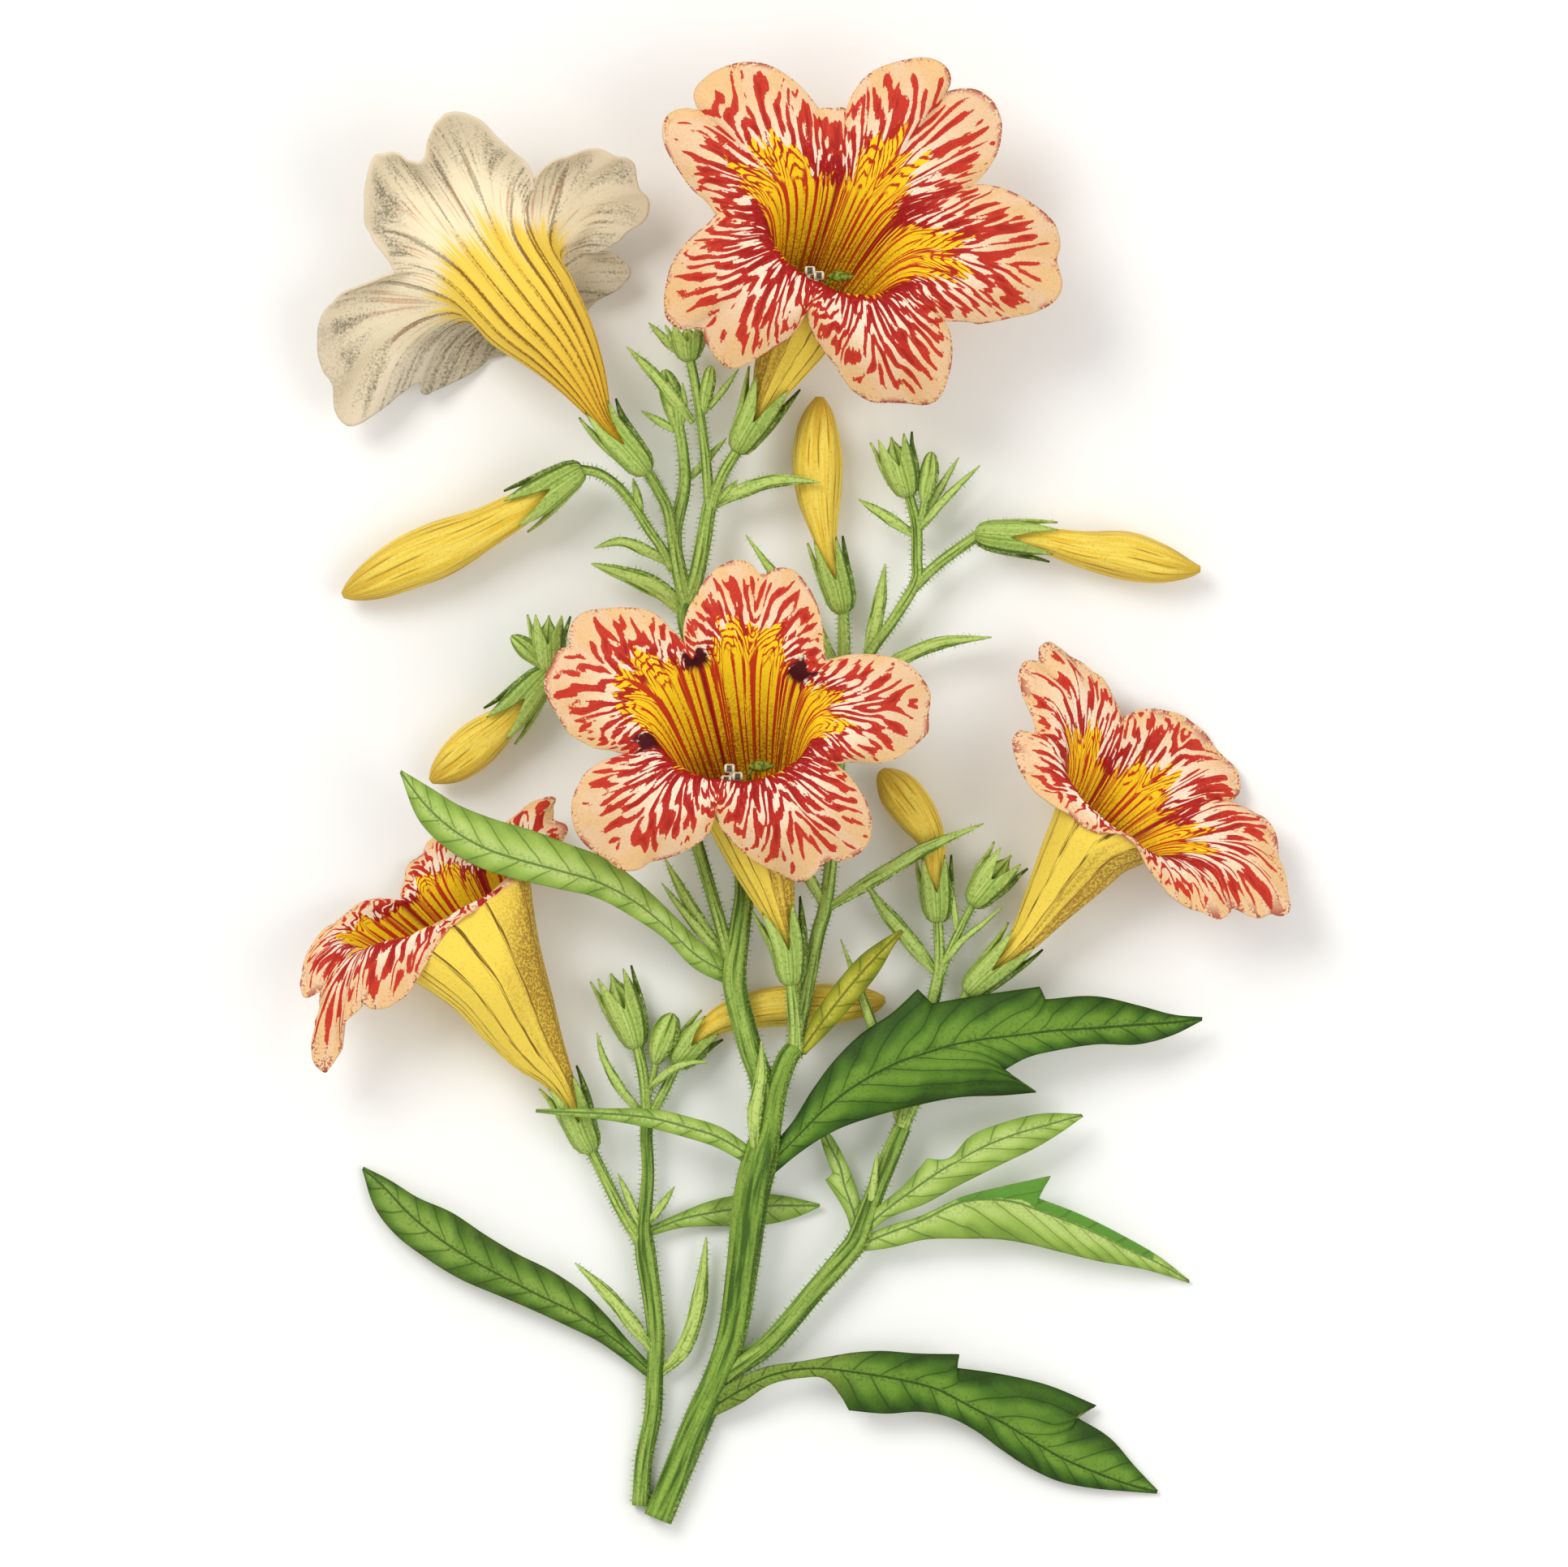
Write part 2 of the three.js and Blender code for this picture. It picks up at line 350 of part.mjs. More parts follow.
// A calyx: the distance and radius of its two lowest rings, and the least radius of its mouth.
const CALYX_RINGS = [[-2, 7], [14, 17]];
const CALYX_MOUTH = 21;
// Where a coloured bud starts inside its calyx, and the first row of a bloom that is hollow.
const CALYX_FLOOR = 20;
const BLOOM_FLOOR_ROW = 2;

const at = ([x, y, z = 0]) => new THREE.Vector3(
  (x - PLAN_CENTRE.x) * STEP,
  (PLAN_CENTRE.y - y) * STEP,
  z * STEP,
);
const way = ([x, y, z]) => new THREE.Vector3(x, -y, z).multiplyScalar(STEP);
const UP = new THREE.Vector3(0, 0, 1);
const wallSteps = WALL / STEP;
const gapSteps = SEAT_GAP / STEP;

// A route is smooth through its stops. u runs from 0 to 1, and every number of a stop is blended alike.
function along(route, u) {
  const spans = route.length - 1;
  const span = Math.min(Math.floor(u * spans), spans - 1);
  const t = u * spans - span;
  const [a, b, c, d] = [-1, 0, 1, 2].map((k) => route[THREE.MathUtils.clamp(span + k, 0, spans)]);
  return b.map((_, i) => b[i] + 0.5 * t * (c[i] - a[i]
    + t * (2 * a[i] - 5 * b[i] + 4 * c[i] - d[i] + t * (3 * (b[i] - c[i]) + d[i] - a[i]))));
}

// The values of u at even distances along a route, and at given distances from its start.
function measure(route) {
  const fine = 12 * (route.length - 1);
  const marks = Array.from({ length: fine + 1 }, (_, i) => at(along(route, i / fine)));
  const lengths = [0];
  for (let i = 1; i <= fine; i += 1) {
    lengths.push(lengths[i - 1] + marks[i].distanceTo(marks[i - 1]) / STEP);
  }
  const find = (distance) => {
    const i = Math.max(1, lengths.findIndex((length) => length >= distance));
    const share = (distance - lengths[i - 1]) / (lengths[i] - lengths[i - 1]);
    return THREE.MathUtils.clamp((i - 1 + share) / fine, 0, 1);
  };
  return { total: lengths[fine], find };
}

function heading(route, u) {
  const reach = 0.01;
  return at(along(route, Math.min(1, u + reach))).sub(at(along(route, Math.max(0, u - reach)))).normalize();
}

// A closed body from points and faces, its faces turned outward.
function solid(points, faces) {
  const six = faces.reduce((sum, [a, b, c]) => sum + points[a].dot(points[b].clone().cross(points[c])), 0);
  const outward = six < 0 ? faces.map(([a, b, c]) => [a, c, b]) : faces;
  return new wasm.Manifold(new wasm.Mesh({
    numProp: 3,
    vertProperties: new Float32Array(points.flatMap((p) => [p.x, p.y, p.z])),
    triVerts: new Uint32Array(outward.flat()),
  }));
}

const middle = (points) => points
  .reduce((sum, p) => sum.add(p), new THREE.Vector3())
  .divideScalar(points.length);

// Rings of points joined in turn and closed at both ends.
function loft(rings) {
  const n = rings[0].length;
  const last = (rings.length - 1) * n;
  const points = [...rings.flat(), middle(rings[0]), middle(rings.at(-1))];
  const faces = [];
  for (let k = 0; k < n; k += 1) {
    const next = (k + 1) % n;
    for (let i = 0; i < rings.length - 1; i += 1) {
      const [a, b, c, d] = [i * n + k, i * n + next, (i + 1) * n + next, (i + 1) * n + k];
      faces.push([a, b, c], [a, c, d]);
    }
    faces.push([last + n, next, k], [last + n + 1, last + k, last + next]);
  }
  return solid(points, faces);
}

function ring(centre, direction, radius, sides) {
  const side = direction.clone().cross(UP).normalize();
  const rise = side.clone().cross(direction);
  return Array.from({ length: sides }, (_, k) => {
    const angle = (2 * Math.PI * (k + 0.5)) / sides - Math.PI / 2;
    return centre.clone()
      .addScaledVector(side, radius * Math.cos(angle))
      .addScaledVector(rise, radius * Math.sin(angle));
  });
}

// A round rod along a route. A facet of it faces straight down.
function rod(route, sides, spacing, { from = 0, grow = 0 } = {}) {
  const { total, find } = measure(route);
  const steps = Math.max(2, Math.round((total - from) / spacing));
  const rings = Array.from({ length: steps + 1 }, (_, i) => {
    const u = find(from + ((total - from) * i) / steps);
    const [x, y, z, r] = along(route, u);
    return ring(at([x, y, z]), heading(route, u), (r + grow) * STEP, sides);
  });
  return loft(rings);
}

// Surface directions at each point of a grid. A grid that goes round joins its last column to its first.
function gridNormals(rows, round) {
  const columns = rows[0].length;
  const column = (k) => (round ? (k + columns) % columns : THREE.MathUtils.clamp(k, 0, columns - 1));
  return rows.map((row, i) => row.map((_, k) => {
    const ahead = rows[Math.min(rows.length - 1, i + 1)][k].clone().sub(rows[Math.max(0, i - 1)][k]);
    const beside = row[column(k + 1)].clone().sub(row[column(k - 1)]);
    return beside.cross(ahead).normalize();
  }));
}

const shifted = (rows, normals, by) => rows.map((row, i) => row.map(
  (p, k) => p.clone().addScaledVector(normals[i][k], by),
));

// A thin blade: both faces are split along the same, shorter diagonals.
function blade(rows, wall) {
  const normals = gridNormals(rows, false);
  const [m, n] = [rows.length, rows[0].length];
  const points = [...shifted(rows, normals, wall / 2).flat(), ...shifted(rows, normals, -wall / 2).flat()];
  const under = m * n;
  const faces = [];
  const p = rows.flat();
  for (let i = 0; i < m - 1; i += 1) {
    for (let k = 0; k < n - 1; k += 1) {
      const [a, b, c, d] = [i * n + k, i * n + k + 1, (i + 1) * n + k + 1, (i + 1) * n + k];
      const acrossShorter = p[a].distanceTo(p[c]) < p[b].distanceTo(p[d]);
      const halves = acrossShorter ? [[a, b, c], [a, c, d]] : [[a, b, d], [b, c, d]];
      for (const [e, f, g] of halves) faces.push([e, f, g], [under + e, under + g, under + f]);
    }
  }
  const rim = [];
  for (let k = 0; k < n - 1; k += 1) rim.push(k);
  for (let i = 0; i < m - 1; i += 1) rim.push(i * n + n - 1);
  for (let k = n - 1; k > 0; k -= 1) rim.push((m - 1) * n + k);
  for (let i = m - 1; i > 0; i -= 1) rim.push(i * n);
  rim.forEach((a, i) => {
    const b = rim[(i + 1) % rim.length];
    faces.push([a, under + a, under + b], [a, under + b, b]);
  });
  return solid(points, faces);
}

// A cup of rows that go round, from its base to its edge: solid below the floor row and thin above it.
function cup(rows, floor, wall) {
  const n = rows[0].length;
  let normals = gridNormals(rows, true);
  if (normals[1][0].dot(rows[1][0].clone().sub(middle(rows[1]))) < 0) {
    normals = normals.map((row) => row.map((normal) => normal.negate()));
  }
  const outer = shifted(rows, normals, wall / 2);
  const inner = shifted(rows, normals, -wall / 2).slice(floor);
  const points = [...outer.flat(), ...inner.flat(), middle(outer[0]), middle(inner[0])];
  const inside = outer.length * n;
  const [foot, pit] = [points.length - 2, points.length - 1];
  const faces = [];
  for (let k = 0; k < n; k += 1) {
    const next = (k + 1) % n;
    const strips = [[outer.length, 0, false], [inner.length, inside, true]];
    for (const [count, start, inward] of strips) {
      for (let i = 0; i < count - 1; i += 1) {
        const [a, b] = [start + i * n + k, start + i * n + next];
        const [c, d] = [start + (i + 1) * n + next, start + (i + 1) * n + k];
        faces.push(inward ? [a, c, b] : [a, b, c], inward ? [a, d, c] : [a, c, d]);
      }
    }
    const [a, b] = [(outer.length - 1) * n + k, (outer.length - 1) * n + next];
    const [c, d] = [inside + (inner.length - 1) * n + next, inside + (inner.length - 1) * n + k];
    faces.push([a, b, c], [a, c, d], [foot, next, k], [pit, inside + k, inside + next]);
  }
  return solid(points, faces);
}

// Rows round a bloom: rings up its tube, its mouth, and then out over its five lobes.
function bloomRows({ path, mouth, outline }) {
  const centre = at(mouth.centre);
  const across = way(mouth.across);
  const up = way(mouth.up);
  const tube = path.slice(1);
  const forward = centre.clone().sub(at(tube.at(-1))).normalize();
  const out = across.clone().cross(up).normalize();
  const hand = Math.sign(out.dot(forward));
  out.multiplyScalar(hand);
  const edge = outline.map(at);
  const perLobe = outline.length / LOBES;
  const turn = (p) => {
    const d = p.clone().sub(centre);
    return Math.atan2(d.dot(up) / up.lengthSq(), d.dot(across) / across.lengthSq());
  };
  const angles = [];
  for (let lobe = 0; lobe < LOBES; lobe += 1) {
    const start = turn(edge[lobe * perLobe]);
    const end = turn(edge[((lobe + 1) % LOBES) * perLobe]);
    const sweep = -THREE.MathUtils.euclideanModulo(start - end, 2 * Math.PI);
    const shorter = Math.abs(sweep) > Math.PI ? sweep + 2 * Math.PI : sweep;
    for (let k = 0; k < perLobe; k += 1) angles.push(start + (shorter * k) / perLobe);
  }
  const tubeRows = tube.map((stop, j) => {
    const before = at(tube[Math.max(0, j - 1)]);
    const after = j < tube.length - 1 ? at(tube[j + 1]) : centre;
    const direction = after.clone().sub(before).normalize();
    const side = across.clone().addScaledVector(direction, -across.dot(direction)).normalize();
    const rise = direction.clone().cross(side).multiplyScalar(hand);
    const radius = (stop[3] - wallSteps / 2) * STEP;
    return angles.map((angle) => at(stop)
      .addScaledVector(side, radius * Math.cos(angle))
      .addScaledVector(rise, radius * Math.sin(angle)));
  });
  const rim = angles.map((angle) => centre.clone()
    .addScaledVector(across, Math.cos(angle))
    .addScaledVector(up, Math.sin(angle)));
  const LIMB_STATIONS = [0.5, 1];
  const FLARE = 0.2;
  const limbRows = LIMB_STATIONS.map((s) => rim.map((start, k) => {
    const reach = edge[k].distanceTo(start);
    return start.clone().lerp(edge[k], s).addScaledVector(out, FLARE * reach * 4 * s * (1 - s));
  }));
  return [...tubeRows, rim, ...limbRows];
}

// A calyx round the first stretch of a path, its five sepals clear of what it holds.
function calyx(path, { length = 100, cleft = 0.48, spread = 9 } = {}) {
  const { find } = measure(path);
  const place = (distance, angle, least, room) => {
    const u = find(Math.max(0, distance));
    const [x, y, z, r] = along(path, u);
    const direction = heading(path, u);
    const side = direction.clone().cross(UP).normalize();
    const rise = side.clone().cross(direction);
    const radius = Math.max(least, r + room) * STEP;
    return at([x, y, z])
      .addScaledVector(side, radius * Math.cos(angle))
      .addScaledVector(rise, radius * Math.sin(angle));
  };
  const columns = Array.from({ length: 2 * SEPALS }, (_, k) => (Math.PI * k) / SEPALS + Math.PI / 2);
  const circle = ([distance, radius]) => columns.map((angle) => place(distance, angle, radius, 0));
  const rows = CALYX_RINGS.map(circle);
  rows.push(columns.map((angle, k) => place(length * (k % 2 ? cleft : 1), angle, CALYX_MOUTH, spread)));
  return cup(rows, 1, WALL);
}

function greenBud({ path, open }) {
  const { total } = measure(path);
  const pod = rod(path, SIDES.stem, total / 3);
  if (!open) return pod;
  return pod.add(calyx(path, { length: total * 1.02, cleft: 0.55, spread: 4 }));
}

// A narrow leaf: a long one is folded along its midrib.
function narrowLeaf({ route, half }) {
  const LONG = 80;
  const LEAST_HALF = 1.2;
  const FOLD = 0.25;
  const long = measure(route).total > LONG;
  const shares = long ? [0.5, 0.9, 1, 0.7, 0.16] : [0.5, 1, 0.7, 0.16];
  const columns = long ? [-1, 0, 1] : [-1, 1];
  const rows = shares.map((share, i) => {
    const u = i / (shares.length - 1);
    const centre = at(along(route, u));
    const side = heading(route, u).cross(UP).normalize();
    const reach = Math.max(half * share, LEAST_HALF) * STEP;
    const dip = FOLD * reach;
    return columns.map((k) => centre.clone().addScaledVector(side, k * reach)
      .addScaledVector(UP, -dip * Math.abs(k)));
  });
  return blade(rows, WALL);
}

// A large leaf: five columns, arched from the midrib down to its edges.
function leaf({ rows, tip, drop }) {
  const last = rows.at(-1);
  const tipHalf = 2;
  const spread = at(last[2]).sub(at(last[0])).setZ(0).setLength(tipHalf * STEP);
  const grid = rows.map(([one, rib, other]) => {
    const centre = at(rib);
    const edges = [one, other].map(([x, y]) => {
      const edge = at([x, y, rib[2]]);
      return edge.addScaledVector(UP, -drop * edge.distanceTo(centre));
    });
    const arch = (edge) => edge.clone().lerp(centre, 0.5)
      .addScaledVector(UP, 0.25 * drop * edge.distanceTo(centre));
    return [edges[0], arch(edges[0]), centre, arch(edges[1]), edges[1]];
  });
  grid.push([-1, -0.5, 0, 0.5, 1].map((share) => at(tip).addScaledVector(spread, share)));
  return blade(grid, WALL);
}

const joined = (solids) => wasm.Manifold.union(solids);

// What the surface would cut into is left flat on it.
const aboveSurface = (body) => body.trimByPlane([0, 0, 1], 0);

// The filaments with their anthers, and the style with its stigma.
function heart({ filaments, style }) {
  const thread = (route) => rod(
    route.map((p) => [...p, FILAMENT_RADIUS]),
    SIDES.filament,
    SPACING.filament,
  );
  const anthers = filaments.map((route) => {
    const [x, y, z] = route.at(-1);
    const r = ANTHER_RADIUS;
    const length = [[x, y + r, z, TIP_RADIUS], [x, y + 0.6 * r, z, r], [x, y - 0.6 * r, z, r],
      [x, y - r, z, TIP_RADIUS]];
    return rod(length, SIDES.stem, SPACING.anther);
  });
  const [sx, sy, sz] = style.at(-1);
  const { length, width } = STIGMA;
  const lips = [[sx - length / 2, sy, sz, TIP_RADIUS], [sx - length / 4, sy, sz, 0.85 * width / 2],
    [sx, sy, sz, width / 2], [sx + length / 4, sy, sz, 0.7 * width / 2],
    [sx + length / 2, sy, sz, TIP_RADIUS]];
  return {
    stamens: joined([...filaments.map(thread), ...anthers]),
    stigma: joined([thread(style), rod(lips, SIDES.stem, SPACING.stigma)]),
  };
}

// One named mesh for each solid.
function mesh(name, body, colour, roughness = 0.6) {
  const { vertProperties, triVerts } = body.getMesh();
  const geometry = new THREE.BufferGeometry();
  geometry.setAttribute('position', new THREE.BufferAttribute(new Float32Array(vertProperties), 3));
  geometry.setIndex(new THREE.BufferAttribute(new Uint32Array(triVerts), 1));
  geometry.computeVertexNormals();
  const material = new THREE.MeshStandardMaterial({ color: COLOURS[colour], roughness, metalness: 0 });
  const result = new THREE.Mesh(geometry, material);
  result.name = name;
  return result;
}

const snake = (name) => name.replace(/[A-Z]/g, (letter) => `_${letter.toLowerCase()}`);

const stemSides = (name) => (name === 'main' ? SIDES.mainStem : SIDES.stem);
const stemRods = Object.entries(STEMS).map(([name, route]) => rod(route, stemSides(name), SPACING.stem));
const stalkRods = Object.values(STALKS).map((route) => rod(route, SIDES.stem, SPACING.stalk));
const calyces = [
  ...Object.values(BLOOMS).map(({ path }) => calyx(path)),
  ...Object.values(BUDS).map(({ path, sepal }) => calyx(path, { length: sepal })),
];
const leafyStems = joined([
  ...stemRods,
  ...stalkRods,
  ...calyces,
  ...Object.values(GREEN_BUDS).map(greenBud),
  ...NARROW_LEAVES.map(narrowLeaf),
]);

const spray = new THREE.Group();
spray.add(mesh('leafy_stems', aboveSurface(leafyStems), 'stem', 0.7));
for (const [name, data] of Object.entries(LEAVES)) {
  const seats = data.seat.map(
    (stem) => rod(STEMS[stem], stemSides(stem), SPACING.stem, { grow: gapSteps }),
  );
  spray.add(mesh(`leaf_${name}`, aboveSurface(leaf(data).subtract(joined(seats))), data.colour));
}
for (const [name, data] of Object.entries(BLOOMS)) {
  spray.add(mesh(`corolla_${name}`, aboveSurface(cup(bloomRows(data), BLOOM_FLOOR_ROW, WALL)), data.colour));
}
for (const [name, { path }] of Object.entries(BUDS)) {
  const petals = rod(path, SIDES.bud, SPACING.bud, { from: CALYX_FLOOR });
  spray.add(mesh(`bud_${snake(name)}`, aboveSurface(petals), 'yellow'));
}
for (const [name, data] of Object.entries(HEARTS)) {
  const { stamens, stigma } = heart(data);
  spray.add(mesh(`stamens_${name}`, stamens, 'anther'), mesh(`stigma_${name}`, stigma, 'stigma'));
}

export default spray;
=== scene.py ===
"""A cut spray of painted tongue, lying on a pale surface and seen from straight above."""
import math

import bpy
import numpy as np
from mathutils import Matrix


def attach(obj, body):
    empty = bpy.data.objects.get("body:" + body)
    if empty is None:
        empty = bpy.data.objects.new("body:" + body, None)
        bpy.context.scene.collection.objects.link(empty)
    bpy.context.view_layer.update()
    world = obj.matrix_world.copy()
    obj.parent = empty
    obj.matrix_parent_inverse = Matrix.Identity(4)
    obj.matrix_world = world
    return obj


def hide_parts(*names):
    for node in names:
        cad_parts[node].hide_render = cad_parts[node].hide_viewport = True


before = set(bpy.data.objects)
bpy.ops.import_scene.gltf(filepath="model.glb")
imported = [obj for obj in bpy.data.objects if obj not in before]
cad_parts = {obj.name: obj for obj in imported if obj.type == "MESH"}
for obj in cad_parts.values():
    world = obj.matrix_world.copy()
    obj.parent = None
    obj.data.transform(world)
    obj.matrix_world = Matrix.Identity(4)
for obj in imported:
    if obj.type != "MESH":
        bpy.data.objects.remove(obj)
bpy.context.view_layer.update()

rng = np.random.default_rng(7)

# Places are plan points: x to the right, y down the plate, z up from the surface.
# They are in plan steps of 1/8 mm, and the plan's centre is the frame's origin.
STEP = 0.226 / 1808
PLAN_CENTRE = (979.4, 976.2)
MM = 0.001

# Lobes to a bloom, sepals to a calyx, and brown lines round a tube.
LOBES, SEPALS, RIBS = 5, 5, 15

# Points of the finer pieces.
LOBE_COLUMNS, TUBE_ROWS, LIMB_ROWS = 72, 30, 26
SEPAL_COLUMNS, SEPAL_ROWS = 14, 12
LEAF_COLUMNS, LEAF_SPAN_ROWS, NARROW_COLUMNS = 25, 7, 9
PACE_POINTS = 24

# Half a petal's thickness at its tube and its edge, half a sepal's at its foot and its tip, a leaf's along
# its middle and its edge, half the wall of the solid petals, and the least height of any point.
PETAL_HALF, PETAL_EDGE_HALF = 0.29 * MM, 0.16 * MM
SEPAL_HALF, SEPAL_TIP_HALF = 0.3 * MM, 0.18 * MM
LEAF_THICK, LEAF_EDGE_THICK = 0.6 * MM, 0.3 * MM
SOLID_PETAL_HALF = 0.31 * MM
LEAST_HEIGHT = 0.02 * MM

# Petals, in plan steps: the height and pace of the ruffles' waves, the bowl of a lobe, the ribs of a tube.
# A lobe bulges by a share of its length.
RUFFLE_WAVES = ((0.5, 7.5), (0.3, 13))
LOBE_BOWL, RIB_HEIGHT = 6.4, 0.5
LOBE_BULGE = 0.8

# Calyces, in plan steps: the distance and radius of the first rings, the least radius of the mouth, the
# gap to what it holds, and how far the sepals bulge.
CALYX_FOOT = [(-2.0, 7.0), (4.0, 12.5), (14.0, 17.0)]
CALYX_MOUTH, CALYX_GAP, SEPAL_BULGE = 21, 5.5, 1.6

# Leaves: how wide a narrow one is along its length, its fold and twist as shares of its width, the waves
# along a broad one's edges and the groove of its midrib, in plan steps.
NARROW_WIDTHS = [0.45, 0.72, 0.9, 1.0, 0.98, 0.88, 0.68, 0.4, 0.06]
NARROW_FOLD, NARROW_TWIST = 0.28, 0.06
LEAF_WAVE, LEAF_WAVE_LENGTH, LEAF_PHASE = 0.045, 17.0, 0.9
GROOVE_DEPTH, GROOVE_WIDTH = 1.6, 5.0

# Hairs: how many on a calyx, their lengths in mm, and the angles of the three corners.
CALYX_HAIRS = 260
HAIR_LENGTHS, HAIR_CORNERS = (0.35, 0.9), (0, 2.094, 4.189)
HAIR_WIDTH, HAIR_ROOT, LEAST_HAIR_TIP = 0.045 * MM, 0.1 * MM, 0.2 * MM

# The radius of a filament and a style, in plan steps.
FINE_ROD = 2.4

# The x, y, z and radius of each stop of a stem.
STEMS = {
    "main": [810,1874,16,18, 829,1828,16,18, 862,1748,16,18, 885,1697,22,17.5, 903,1640,30,18,
        915,1560,40,20, 925,1480,50,22, 936,1430,58,22, 946,1390,62,17, 956,1345,66,14, 970,1305,70,13,
        983,1290,72,12],
    "trunk": [944,1410,58,13, 940,1340,64,15, 924,1290,66,15, 908,1230,66,15, 905,1195,64,15,
        912,1140,58,13, 917,1090,50,12, 906,1000,42,11, 885,900,42,11, 860,820,46,11, 845,765,50,11,
        848,742,50,10],
    "left": [789,1858,9,11, 793,1800,9,11, 804,1745,14,11, 806,1700,20,11, 808,1650,22,11, 803,1600,24,12,
        795,1545,26,13, 793,1510,28,10, 798,1450,30,8, 796,1400,31,8, 797,1370,31,8],
    "right": [866,1722,20,12, 905,1688,24,13, 950,1655,28,13, 1000,1597,34,13, 1045,1545,38,14,
        1058,1526,40,14, 1075,1480,40,12, 1095,1430,40,12, 1112,1390,42,11],
    "upperLeft": [848,745,50,10, 838,710,52,10, 831,660,54,9, 843,600,56,8, 842,560,57,7, 836,524,58,7],
    "upperRight": [848,745,50,10, 858,710,52,10, 866,670,54,10, 874,622,56,9],
    "upperMiddle": [874,624,56,7, 870,570,58,6.5, 863,515,60,6, 855,465,60,6, 849,438,60,6],
    "middleLeft": [903,1195,62,9, 882,1120,56,8, 860,1045,46,8, 835,960,42,8, 775,880,44,8, 715,845,50,7,
        678,828,56,6],
    "middleRight": [978,1302,69,11, 988,1250,65,9, 998,1200,62,9, 1008,1150,60,9, 1017,1118,60,9,
        1024,1060,50,8, 1032,960,40,8, 1038,860,38,8, 1040,800,40,8, 1039,750,42,7],
    "topRight": [1033,950,40,7, 1045,880,40,7, 1068,812,42,7, 1100,765,45,7, 1128,718,48,7, 1130,690,50,7,
        1129,645,52,7, 1119,606,54,6],
}

STALKS = {
    "white": [830,672,54,7, 823,630,72,7, 812,606,92,7, 801,587,112,7, 795,578,118,7],
    "top": [876,628,56,7, 882,605,62,7, 894,578,70,7, 909,554,76,7],
    "centre": [981,1296,71,10, 980,1262,80,9, 977,1230,88,8, 975,1208,90,8],
    "left": [790,1532,27,9, 766,1495,30,7, 746,1455,32,7, 727,1416,34,7],
    "right": [1110,1395,42,9, 1135,1340,42,8, 1165,1280,44,8, 1195,1222,52,8],
    "budLeft": [829,702,52,6, 815,675,56,6, 799,652,60,6, 782,625,66,6, 762,600,71,6, 738,583,73,6,
        713,578,71,6],
    "budRight": [1126,724,47,7, 1150,700,50,7, 1174,681,52,7, 1207,658,52,7],
    "budMiddle": [1110,1395,42,8, 1122,1330,42,8, 1140,1270,44,8, 1152,1225,46,8, 1158,1190,46,7,
        1156,1131,46,6],
    "budLow": [800,1378,31,6, 818,1345,29,6, 834,1311,28,6],
    "clusterLeft": [797,1378,31,7, 793,1330,31,7, 784,1286,31,7],
    "clusterRound": [798,1350,31,5, 804,1330,34,4, 808,1306,36,4],
    "clusterTopRight": [1130,655,52,5, 1136,635,54,5, 1140,614,54,5],
    "clusterRight": [1157,1205,46,6, 1176,1160,50,5, 1200,1112,54,5],
}

